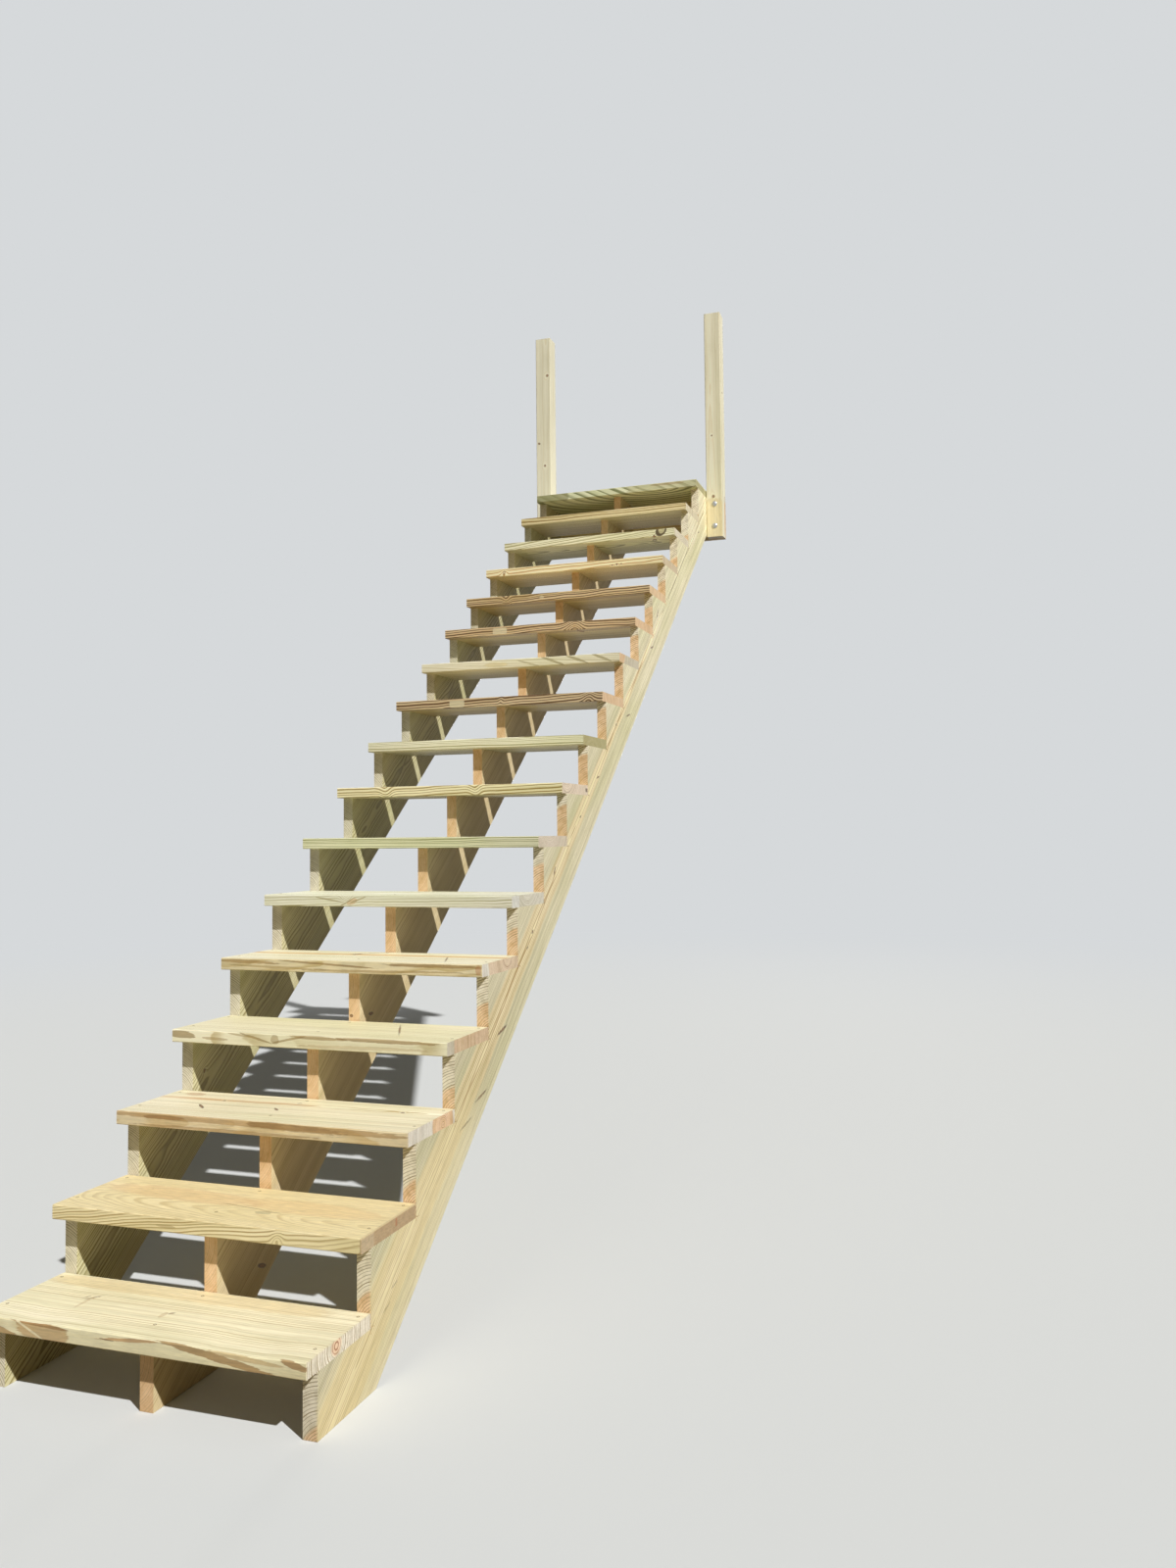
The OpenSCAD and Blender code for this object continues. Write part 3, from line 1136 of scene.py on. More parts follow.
    @classmethod
    def upper(cls) -> tuple[Pine, ...]:
        """The finishes of the treads that are seen from below.

        Returns:
            Eleven finishes, from the seventh tread up.
        """
        front, swell = cls.FRONT, cls.swell
        edge, top, end = (partial(cls.mark, side) for side in Side)
        # A positive edge light makes a tread's front edge paler than its top: painted light.
        return (
            # Tread 7: pale and plain.
            Pine(
                seed=7.7, pith=(-0.04, 0.095), drift=(0.01, -0.01), stray=0.006, ring=0.005, wander=0.0025,
                tone_and_shade_along=-0.26, painted_edge_light=0.16, contrast=1.6, green=0.7, sap=(242, 239, 214), late=(160, 158, 110),
                sawn=(236, 220, 200),
            ),
            # Tread 8: hills along the edge, a split end.
            Pine(
                seed=8.3, pith=(-0.1, 0.07), drift=(0.02, 0.03), stray=0.028, ring=0.0095, tighten=0.0,
                painted_edge_light=0.2, contrast=1.8, cut_contrast=0.9, sap=(246, 237, 198), late=(158, 134, 76),
                sawn=(246, 228, 206),
                knots=(swell(-0.248, -0.006, 0.01), swell(0.12, -0.011, 0.009)),
                marks=(end(0.128, 0.0, (0.01, 0.007), cls.SPLIT, 0.8, 1.0),),
            ),
            # Tread 9: greenish, plain.
            Pine(
                seed=9.5, pith=(-0.04, -0.09), drift=(0.01, 0.01), stray=0.008, ring=0.0052, wander=0.003,
                tone_and_shade_along=0.12, painted_edge_light=0.18, contrast=1.6, cut_contrast=0.8, green=0.8, sap=(240, 237, 210),
                late=(166, 160, 112), sawn=(182, 172, 122),
            ),
            # Tread 10: dark chevrons.
            Pine(
                seed=10.2, pith=(-0.185, -0.062), drift=(0.01, 0.03), stray=0.026, tighten=0.0, heart=0.105,
                tone_and_shade_along=-0.08, painted_edge_light=0.02, contrast=2.1, cut_contrast=0.5, green=0.2, sap=(216, 194, 140),
                core=(218, 194, 154), core_late=(104, 74, 42), sawn=(236, 202, 162),
                knots=(swell(0.4, 0.0, 0.01), swell(0.02, 0.004, 0.004)),
                marks=(edge(-0.177, -0.003, (0.034, 0.014), (224, 212, 176), 0.8, 0.2, 0.0, 8.0),),
            ),
            # Tread 11: four slanting streaks.
            Pine(
                seed=11.8, pith=(-0.17, 0.085), drift=(0.0, -0.06), ring=0.009, tighten=0.0, cut_heart=0.12,
                tone_and_shade_along=-0.04, painted_edge_light=0.1, cut_contrast=0.8, green=0.4, sap=(247, 242, 216), late=(186, 170, 116),
                core_late=(212, 146, 94), sawn=(220, 210, 188),
                marks=(
                    edge(-0.1, -0.002, (0.06, 0.011), (232, 214, 150), 0.5, 1.4),
                    edge(0.155, 0.002, (0.06, 0.0055), (170, 158, 110), 0.75, 1.2, -0.38),
                    edge(0.262, 0.004, (0.055, 0.006), (168, 156, 110), 0.75, 1.2, -0.38),
                    edge(0.375, 0.004, (0.05, 0.006), (172, 160, 114), 0.75, 1.2, -0.42),
                    edge(0.05, -0.004, (0.05, 0.004), (186, 174, 126), 0.6, 1.2, -0.3),
                ),
            ),
            # Tread 12: dark chevrons about a knot.
            Pine(
                seed=12.4, pith=(-0.185, -0.06), drift=(0.0, 0.02), stray=0.026, tighten=0.0, heart=0.105,
                painted_edge_light=0.1, contrast=2.0, cut_contrast=0.5, green=0.15, sap=(222, 200, 144), core=(218, 190, 146),
                core_late=(102, 72, 40), sawn=(236, 200, 156),
                knots=(swell(0.176, -0.004, 0.016), Knot((0.19, -0.09, -cls.TOP), 0.009, 0.2, 0.8)),
                marks=(
                    edge(-0.184, -0.002, (0.035, 0.014), (226, 212, 176), 0.8, 0.2, 0.0, 8.0),
                    edge(0.176, -0.004, (0.012, 0.004), (196, 156, 104), 0.5, 0.6),
                ),
            ),
            # Tread 13: dark chevrons, softer.
            Pine(
                seed=13.1, pith=(-0.185, 0.062), drift=(0.01, 0.03), stray=0.026, tighten=0.0, heart=0.125,
                painted_edge_light=0.12, contrast=1.9, cut_contrast=0.5, green=0.25, sap=(222, 200, 146),
                core=(220, 196, 152), core_late=(112, 84, 48), sawn=(240, 208, 166),
                knots=(swell(-0.25, 0.0, 0.008),),
                marks=(edge(-0.07, 0.0, (0.012, 0.008), (224, 212, 176), 0.6, 0.8),),
            ),
            # Tread 14: warm heartwood, a row of knots on the edge.
            Pine(
                seed=14.6, pith=(-0.19, -0.03), drift=(0.01, 0.02), stray=0.016, wander=0.006, heart=0.5,
                painted_edge_light=0.11, contrast=1.3, cut_contrast=0.7, green=0.2, core=(252, 239, 194),
                core_late=(194, 158, 96), sawn=(226, 206, 172),
                knots=(
                    Knot((-0.361, front, -0.004), 0.007, 0.2, 0.5, 0.5),
                    Knot((0.205, front, -0.009), 0.002, 0.3, 0.9),
                    Knot((0.228, front, -0.006), 0.003, 0.3, 0.9),
                    Knot((0.25, front, -0.006), 0.0018, 0.3, 0.9),
                ),
            ),
            # Tread 15: greenish, a bark ring at the right.
            Pine(
                seed=15.3, pith=(-0.04, 0.085), drift=(0.02, 0.06), ring=0.009, wander=0.005, tone_and_shade_along=0.17,
                painted_edge_light=0.28, contrast=1.5, cut_contrast=0.7, green=0.6, sap=(233, 230, 202), late=(166, 158, 110),
                sawn=(238, 226, 200),
                knots=(
                    Knot((0.34, -0.09, -cls.TOP), 0.008, 0.3, 1.0), Knot((0.352, front, -0.018), 0.005, 0.3, 1.0),
                ),
                marks=(
                    edge(0.387, 0.01, (0.029, 0.027), (84, 66, 36), 0.95, 0.25, 0.25),
                    edge(0.391, 0.018, (0.018, 0.023), (212, 204, 158), 0.9, 0.25, 0.25),
                ),
            ),
            # Tread 16: brown heartwood.
            Pine(
                seed=16.9, pith=(-0.19, 0.045), drift=(0.02, 0.03), ring=0.009, wander=0.007, heart=0.5,
                tone_and_shade_along=0.24, painted_edge_light=0.24, contrast=1.5, cut_contrast=0.6, green=0.4, core=(226, 211, 166),
                core_late=(152, 124, 74), sawn=(234, 222, 190),
            ),
            # Tread 17: broad greenish stripes.
            Pine(
                seed=17.2, pith=(-0.16, 0.1), drift=(0.0, -0.5), ring=0.034, tighten=0.0, wander=0.007,
                tone_and_shade_along=0.1, painted_edge_light=0.06, contrast=1.9, cut_contrast=0.7, green=0.7, sap=(234, 236, 202),
                late=(138, 142, 100), sawn=(192, 184, 140),
                marks=(
                    top(0.0, 0.0, (0.5, 0.17), (220, 218, 178), 0.72, 0.6, 0.0, 8.0),
                    # Painted shade over the left end of the front edge; the board's darkening towards that end is
                    # painted shade too.
                    edge(-0.37, 0.0, (0.1, 0.03), (140, 136, 86), 0.7, 1.6, 0.0, 4.0),
                    edge(0.27, 0.0, (0.2, 0.03), (206, 202, 160), 0.6, 1.6, 0.0, 4.0),
                    edge(0.3, 0.01, (0.1, 0.006), (168, 134, 88), 0.5, 1.0),
                ),
            ),
        )


@dataclass
class Treads:
    """The seventeen tread boards.

    Attributes:
        flight: The flight's driving sizes.
        wane: Where bark was along the lowest tread's front: start, end and depth.
        pieces: The treads, foot first.
    """

    flight: Flight = FLIGHT
    wane: tuple[Triple, ...] = ((0.16, 0.40, 0.006), (-0.44, -0.20, 0.004))
    pieces: list[bpy.types.Object] = field(default_factory=list)

    def build(self) -> None:
        """Cuts every tread and sets it on its seat."""
        size = (2 * self.flight.half_width, self.flight.plank_depth, self.flight.plank)
        for step in range(1, self.flight.steps + 1):
            mesh = Board(self.flight.tread_centre(step), size, Lie.TREAD).mesh(self.wane if step == 1 else ())
            self.pieces.append(make_piece(mesh, f"tread_{step:02d}_board", f"tread_{step:02d}"))

    def dress(self, groups: WoodGroups) -> None:
        """Gives each tread its own wood.

        Args:
            groups: The shared node groups.
        """
        for step, (piece, pine) in enumerate(zip(self.pieces, TreadWood.first_six() + TreadWood.upper()), start=1):
            centre = self.flight.tread_centre(step)
            piece.data.materials.append(pine.material(f"tread_{step:02d}_pine", Lie.TREAD, centre, groups))


@dataclass
class Stringers:
    """The three cut stringers, with the saw's overcuts at their inner corners.

    Attributes:
        flight: The flight's driving sizes.
        kerf: Width of the saw's cut.
        level_cut: How far the level cut runs past a corner, and how much that varies.
        plumb_cut: The same for the plumb cut.
        arris: Radius of the edges along the slope.
        rail: Edges longer than this run along the slope.
        pieces: The stringers by name.
    """

    flight: Flight = FLIGHT
    kerf: float = 0.0024
    level_cut: Pair = (0.016, 0.009)
    plumb_cut: Pair = (0.013, 0.008)
    arris: float = 0.003
    rail: float = 2.0
    pieces: dict[str, bpy.types.Object] = field(default_factory=dict)

    def places(self) -> dict[str, float]:
        """Where each stringer's middle is across the flight."""
        return {"left": -self.flight.side, "center": 0.0, "right": self.flight.side}

    def outline(self, seed: float) -> list[Pair]:
        """The sawtooth outline, from the foot up the front and back down the lower edge.

        Args:
            seed: Picks the lengths of the overcuts.

        Returns:
            Points as y and z.
        """
        f = self.flight
        drop, slope = f.plank_depth / math.cos(f.pitch), f.rise / f.run
        first_y, first_z = f.seat(1)
        points = [(first_y, f.ground), f.seat(1)]
        for step in range(1, f.steps):
            z = f.seat(step)[1]
            corner = f.seat(step)[0] + f.run
            over = self.level_cut[0] + self.level_cut[1] * noise.noise((step * 1.7, seed, 0.5))
            down = self.plumb_cut[0] + self.plumb_cut[1] * noise.noise((step * 2.3, seed, 4.5))
            points += [
                (corner - self.kerf, z), (corner - self.kerf, z - down), (corner, z - down), (corner, z),
                (corner + over, z), (corner + over, z + self.kerf), (corner, z + self.kerf), f.seat(step + 1),
            ]
        head = -f.plank
        points += [(head, f.seat(f.steps)[1]), (head, first_z + slope * (head - first_y) - drop)]
        points.append((first_y + (f.ground - first_z + drop) / slope, f.ground))
        return points

    def build(self) -> None:
        """Saws the three stringers."""
        thick = self.flight.plank
        slope = Lie.STRINGER.turn().col[0]
        for order, (name, x) in enumerate(self.places().items()):
            bm = slab(self.outline(order * 3.7), x - thick / 2, thick)
            rails = [
                edge for edge in bm.edges if edge.calc_length() > self.rail
                and abs((edge.verts[1].co - edge.verts[0].co).normalized().dot(slope)) > 0.999
            ]
            ease(bm, rails, self.arris)
            self.pieces[name] = make_piece(bm, f"stringer_{name}_plank", f"stringer_{name}")

    def _riser_knot(self, step: int, share: float, through: float) -> Knot:
        """A small knot on a plumb cut.

        Args:
            step: How many steps up it is.
            share: How far up the cut, from 0 to 1.
            through: Its place across the cut.

        Returns:
            The knot.
        """
        f = self.flight
        along = step * math.hypot(f.run, f.rise) + share * f.rise * math.sin(f.pitch)
        return Knot((along, -share * f.rise * math.cos(f.pitch), through), 0.0022, 0.2, 0.7)

    def _right(self) -> Pine:
        """The wood of the right stringer, whose outer side is seen, with a row of narrow knots.

        Returns:
            The finish.
        """
        face = self.flight.plank / 2
        slits = (
            (0.845, -0.211), (0.960, -0.230), (1.186, -0.199), (1.509, -0.157), (1.580, -0.150), (1.871, -0.131),
            (2.213, -0.157), (2.484, -0.172), (2.813, -0.149), (2.990, -0.215), (3.522, -0.186), (3.701, -0.111),
            (4.743, -0.182),
        )
        knots = [Knot((u, v, face), 0.0018 + 0.0006 * (7 * i % 3), 2.2, 0.9) for i, (u, v) in enumerate(slits)]
        knots += [Knot((0.323, -0.177, face), 0.0014, 2.5, 0.6), Knot((0.268, -0.186, face), 0.0012, 2.5, 0.6)]
        return Pine(
            seed=21.4, pith=(-0.15, 0.034), stray=0.014, ring=0.0062, tighten=0.0, wander=0.004, heart=0.073,
            cut_heart=0.062, taper=0.016, growth=0.03, tone_and_shade_along=0.122, contrast=1.6, cut_contrast=1.35, green=0.55,
            streak=1.0, sap=(222, 215, 187), late=(166, 153, 112), core=(225, 212, 172),
            core_late=(178, 150, 100), sawn=(232, 224, 204), sawn_core=(229, 196, 158),
            knots=tuple(knots),
            marks=(
                Mark((0.1, -0.2, face), (0.9, 0.15, 0.003), tone(250, 236, 184), 0.34, 1.6, 0.0, 2.0, True),
                Mark((2.6, -0.276, face), (3.2, 0.01, 0.003), tone(240, 232, 202), 0.45, 0.6, 0.0, 4.0, True),
            ),
        )

    def _woods(self) -> dict[str, Pine]:
        """The three stringers' woods.

        Returns:
            The finishes by name.
        """
        face = self.flight.plank / 2
        return {
            "right": self._right(),
            # Its darkening up the flight is painted shade.
            "center": Pine(
                seed=22.9, pith=(-0.02, -0.065), drift=(-0.01, 0.0), stray=0.016, ring=0.0065, wander=0.005,
                heart=0.5, cut_heart=0.5, tone_and_shade_along=-0.03, contrast=0.55, cut_contrast=0.35, green=0.4, streak=0.5,
                core=(229, 211, 170), core_late=(180, 152, 98), sawn_core=(235, 198, 154),
                knots=(
                    Knot((0.3, -0.14, -face), 0.005, 0.6, 0.8), Knot((1.2, -0.16, face), 0.004, 1.0, 0.8),
                    Knot((2.1, -0.17, face), 0.004, 1.0, 0.8),
                    self._riser_knot(0, 0.90, -0.004), self._riser_knot(1, 0.84, 0.006),
                    self._riser_knot(3, 0.45, 0.008),
                ),
                marks=(
                    Mark((1.0, -0.105, -0.006), (0.014, 0.02, 0.008), tone(166, 110, 62), 0.6, 1.2, 0.6),
                    Mark((0.71, -0.12, 0.002), (0.01, 0.02, 0.006), tone(186, 126, 76), 0.5, 1.2, 0.4),
                ),
            ),
            # Its darkening up the flight is painted shade.
            "left": Pine(
                seed=23.6, pith=(-0.16, -0.052), drift=(0.004, 0.0), stray=0.022, ring=0.0062, wander=0.006,
                tone_and_shade_along=-0.035, contrast=0.95, cut_contrast=0.7, green=0.5, streak=0.5, sap=(225, 219, 178),
                late=(166, 153, 100), sawn=(238, 231, 212),
                knots=(Knot((0.9, -0.12, face), 0.004, 0.7, 0.7), Knot((2.4, -0.15, face), 0.004, 0.7, 0.7)),
            ),
        }

    def dress(self, groups: WoodGroups) -> None:
        """Gives each stringer its wood.

        Args:
            groups: The shared node groups.
        """
        woods = self._woods()
        for name, x in self.places().items():
            centre = Vector((x, *self.flight.seat(1)))
            material = woods[name].material(f"stringer_{name}_pine", Lie.STRINGER, centre, groups)
            self.pieces[name].data.materials.append(material)


@dataclass
class Header:
    """The board that the flight hangs from.

    Attributes:
        flight: The flight's driving sizes.
        bays: How many lengths it is divided into.
        piece: The header.
    """

    flight: Flight = FLIGHT
    bays: int = 24
    piece: bpy.types.Object | None = None

    @property
    def centre(self) -> Vector:
        """Middle of the board."""
        return Vector((0.0, -self.flight.plank / 2, 0.0))

    def build(self) -> None:
        """Cuts the header, as long as the newels' outer faces are apart."""
        f = self.flight
        size = (2 * f.post_x + f.post, f.header_height, f.plank)
        board = Board(self.centre, size, Lie.HEADER, bays=self.bays)
        self.piece = make_piece(board.mesh(), "header_board", "header")

    def dress(self, groups: WoodGroups) -> None:
        """Gives the header its wood.

        Args:
            groups: The shared node groups.
        """
        face = self.flight.plank / 2
        pine = Pine(
            seed=31.7, pith=(-0.02, -0.045), drift=(0.03, 0.01), ring=0.0075, wander=0.006, heart=0.2,
            cut_heart=0.1, contrast=0.8, core=(232, 212, 160), core_late=(202, 168, 108),
            knots=(
                Knot((-0.5, 0.04, face), 0.008, 0.3, 0.6), Knot((0.36, -0.02, face), 0.007, 0.3, 0.5),
                Knot((-0.2, -0.08, face), 0.006, 0.3, 0.5),
            ),
        )
        self.piece.data.materials.append(pine.material("header_pine_wood", Lie.HEADER, self.centre, groups))


@dataclass
class Newels:
    """The two newel posts, notched over the header.

    Attributes:
        flight: The flight's driving sizes.
        height: How far they stand above the topmost tread.
        arris: Radius of the upright edges.
        upright: Edges longer than this are upright.
        pieces: The posts by name.
    """

    flight: Flight = FLIGHT
    height: float = 1.0
    arris: float = 0.004
    upright: float = 0.9
    pieces: dict[str, bpy.types.Object] = field(default_factory=dict)

    def places(self) -> dict[str, float]:
        """Where each post's middle is across the flight."""
        return {"left": -self.flight.post_x, "right": self.flight.post_x}

    def build(self) -> None:
        """Saws both posts."""
        f = self.flight
        foot, shoulder, top = -f.header_height / 2, f.header_height / 2, f.deck + self.height
        front, lap, back = -f.post, -f.plank, 0.0
        outline = [(front, foot), (lap, foot), (lap, shoulder), (back, shoulder), (back, top), (front, top)]
        for name, x in self.places().items():
            bm = slab(outline, x - f.post / 2, f.post)
            ease(bm, [edge for edge in bm.edges if edge.calc_length() > self.upright], self.arris, segments=4)
            self.pieces[name] = make_piece(bm, f"newel_{name}_post", f"newel_{name}")

    def _woods(self) -> dict[str, Pine]:
        """Both posts' woods.

        Returns:
            The finishes by name.
        """
        face = -self.flight.post / 2
        # Their negative edge light darkens the posts' sides: painted shade.
        return {
            "left": Pine(
                seed=41.2, pith=(0.01, 0.012), drift=(0.006, -0.004), stray=0.008, ring=0.006, wander=0.003,
                cut_heart=0.02, painted_edge_light=-0.14, contrast=0.35, green=0.0, streak=0.2, sap=(255, 250, 224),
                late=(232, 218, 172),
                knots=(
                    Knot((0.921, 0.026, face), 0.007, 0.3, 0.5),
                    Knot((0.39, 0.007, face), 0.006, 0.3, 0.6),
                    Knot((0.524, -0.028, face), 0.005, 0.3, 0.6),
                ),
            ),
            "right": Pine(
                seed=42.8, pith=(-0.012, 0.01), drift=(-0.004, 0.006), stray=0.008, ring=0.0062, wander=0.003,
                cut_heart=0.02, painted_edge_light=-0.02, contrast=0.5, green=0.2, streak=0.2, sap=(254, 248, 220),
                late=(226, 210, 164),
                knots=(
                    Knot((0.108, -0.005, face), 0.0065, 0.3, 0.7), Knot((0.7, -face, 0.0), 0.006, 0.3, 0.5),
                    Knot((0.45, -0.01, face), 0.004, 0.3, 0.4),
                ),
                marks=(
                    Mark((-0.03, 0.0, face), (0.13, 0.07, 0.004), tone(226, 206, 148), 0.5, 1.4, 0.0, 3.0, True),
                ),
            ),
        }

    def dress(self, groups: WoodGroups) -> None:
        """Gives each post its wood.

        Args:
            groups: The shared node groups.
        """
        woods = self._woods()
        for name, x in self.places().items():
            centre = Vector((x, -self.flight.post / 2, 0.0))
            material = woods[name].material(f"newel_{name}_pine", Lie.POST, centre, groups)
            self.pieces[name].data.materials.append(material)


@dataclass
class CarriageBolts:
    """Two domed bolts through each newel and the header, with washer and nut behind.

    Attributes:
        flight: The flight's driving sizes.
        rows: Heights of the lower and the upper bolt.
        head: Radius of the head.
        dome: Height of the head.
        shank: Radius of the shank.
        tip: Where the shank ends behind the header.
        tip_edge: Where its eased end starts.
        tip_ease: How much thinner its end is.
        washer: Radius of the washer.
        washer_thick: Its thickness.
        washer_edge: Where its eased rim starts.
        washer_ease: How much smaller its face is.
        nut: Radius over the nut's corners.
        nut_height: Its height.
        nut_ease: Radius of its corners.
        turns: Facets round the bolt.
    """

    flight: Flight = FLIGHT
    rows: Pair = (-0.0564, 0.0658)
    head: float = 0.0145
    dome: float = 0.006
    shank: float = 0.006
    tip: float = 0.0165
    tip_edge: float = 0.0155
    tip_ease: float = 0.0008
    washer: float = 0.0175
    washer_thick: float = 0.0026
    washer_edge: float = 0.0022
    washer_ease: float = 0.0005
    nut: float = 0.0105
    nut_height: float = 0.010
    nut_ease: float = 0.0007
    turns: int = 32
    pieces: list[bpy.types.Object] = field(default_factory=list)

    def _turned(self, bm: bmesh.types.BMesh, profile: list[Pair]) -> None:
        """Turns a profile about the bolt's own axis.

        Args:
            bm: The mesh that takes it.
            profile: Points as radius and place along y.
        """
        verts = [bm.verts.new((radius, y, 0.0)) for radius, y in profile]
        line = verts + [bm.edges.new(pair) for pair in zip(verts, verts[1:])]
        around = {"cent": (0, 0, 0), "axis": (0, 1, 0), "angle": math.tau, "steps": self.turns}
        bmesh.ops.spin(bm, geom=line, use_merge=True, **around)

    def _bolt(self, bm: bmesh.types.BMesh) -> None:
        """Turns the bolt, from its tip to the crown of its head.

        Args:
            bm: The mesh that takes it.
        """
        face = -self.flight.post
        angles = [math.radians(9 * n) for n in range(10)]
        dome = [(self.head * math.cos(a), face - self.dome * math.sin(a)) for a in angles]
        tip = [(0.0, self.tip), (self.shank - self.tip_ease, self.tip), (self.shank, self.tip_edge)]
        self._turned(bm, [*tip, (self.shank, face), *dome, (0.0, face - self.dome)])

    def _washer(self, bm: bmesh.types.BMesh) -> None:
        """Turns the washer on the header's back.

        Args:
            bm: The mesh that takes it.
        """
        hole, rim, thick = self.shank, self.washer, self.washer_thick
        outside = [(rim, 0.0), (rim, self.washer_edge), (rim - self.washer_ease, thick)]
        self._turned(bm, [(hole, 0.0), *outside, (hole, thick), (hole, 0.0)])

    def _hexagon(self, bm: bmesh.types.BMesh) -> None:
        """Adds the nut, with eased corners, on the washer.

        Args:
            bm: The mesh that takes it.
        """
        size = {"radius1": self.nut, "radius2": self.nut, "depth": self.nut_height}
        made = bmesh.ops.create_cone(bm, cap_ends=True, segments=6, **size)["verts"]
        bmesh.ops.rotate(bm, verts=made, cent=(0, 0, 0), matrix=Matrix.Rotation(math.radians(90), 3, "X"))
        bmesh.ops.translate(bm, verts=made, vec=(0, self.washer_thick + self.nut_height / 2, 0))
        ease(bm, list({edge for vert in made for edge in vert.link_edges}), self.nut_ease, segments=2)

    def build(self) -> None:
        """Makes each bolt where the newel's hole is."""
        for name, x in (("left", -self.flight.post_x), ("right", self.flight.post_x)):
            for row, z in zip(("lower", "upper"), self.rows):
                bm = bmesh.new()
                self._bolt(bm)
                self._washer(bm)
                self._hexagon(bm)
                bmesh.ops.remove_doubles(bm, verts=bm.verts, dist=1e-6)
                bmesh.ops.translate(bm, verts=bm.verts, vec=(x, 0, z))
                self.pieces.append(make_piece(bm, f"carriage_bolt_{name}_{row}"))

    def dress(self) -> None:
        """Gives the bolts their zinc."""
        zinc = Steel().material("galvanised_steel")
        for piece in self.pieces:
            piece.data.materials.append(zinc)


@dataclass
class DeckScrews:
    """Flat-headed screws, two through each tread into each stringer.

    Attributes:
        flight: The flight's driving sizes.
        rows: Their places in front of and behind a tread's middle.
        sway: How far a screw may sit from its row.
        head: Radius of a head.
        deep: Height of a head.
        proud: How far a head stands out of the wood.
        neck: Radius under the head, as a share of the head's.
        rim: Width of the flat rim round the recess, as a share of the head's radius.
        recess: How far the recess narrows, and its depth.
        facets: Facets round a head.
        coat: The screws' finish.
        piece: All the screws.
    """

    flight: Flight = FLIGHT
    rows: Pair = (-0.070, 0.115)
    sway: float = 0.006
    head: float = 0.0042
    deep: float = 0.003
    proud: float = 0.0002
    neck: float = 0.55
    rim: float = 0.45
    recess: Pair = (0.0004, 0.0011)
    facets: int = 20
    coat: Steel = Steel((150, 132, 92), 0.55, 0.3)
    piece: bpy.types.Object | None = None

    def _screw(self, bm: bmesh.types.BMesh, top: Vector) -> None:
        """Sets one head.

        Args:
            bm: The mesh that takes it.
            top: Middle of its upper face.
        """
        size = {"radius1": self.head * self.neck, "radius2": self.head, "depth": self.deep}
        made = bmesh.ops.create_cone(bm, cap_ends=True, segments=self.facets, **size)["verts"]
        bmesh.ops.translate(bm, verts=made, vec=top - Vector((0.0, 0.0, self.deep / 2)))
        faces = {face for vert in made for face in vert.link_faces}
        flat = [face for face in faces if face.normal.z > 0.9 and len(face.verts) == self.facets]
        bmesh.ops.inset_region(bm, faces=flat, thickness=self.head * self.rim, depth=0.0)
        bmesh.ops.inset_region(bm, faces=flat, thickness=self.recess[0], depth=-self.recess[1])

    def build(self) -> None:
        """Sets the heads level with the tread tops."""
        bm = bmesh.new()
        for step in range(1, self.flight.steps + 1):
            middle = self.flight.tread_centre(step)
            level = middle.z + self.flight.plank / 2 + self.proud
            for column, x in enumerate((-self.flight.side, 0.0, self.flight.side)):
                for row, y in enumerate(self.rows):
                    draws = (noise.noise((step * 3.1, column * 7.7, row * 5.3 + shift)) for shift in (0.4, 9.1))
                    sway = [self.sway * draw for draw in draws]
                    self._screw(bm, Vector((x + sway[0], middle.y + y + sway[1], level)))
        self.piece = make_piece(bm, "deck_screws")

    def dress(self) -> None:
        """Gives the screws their dull tan coat."""
        self.piece.data.materials.append(self.coat.material("coated_steel"))


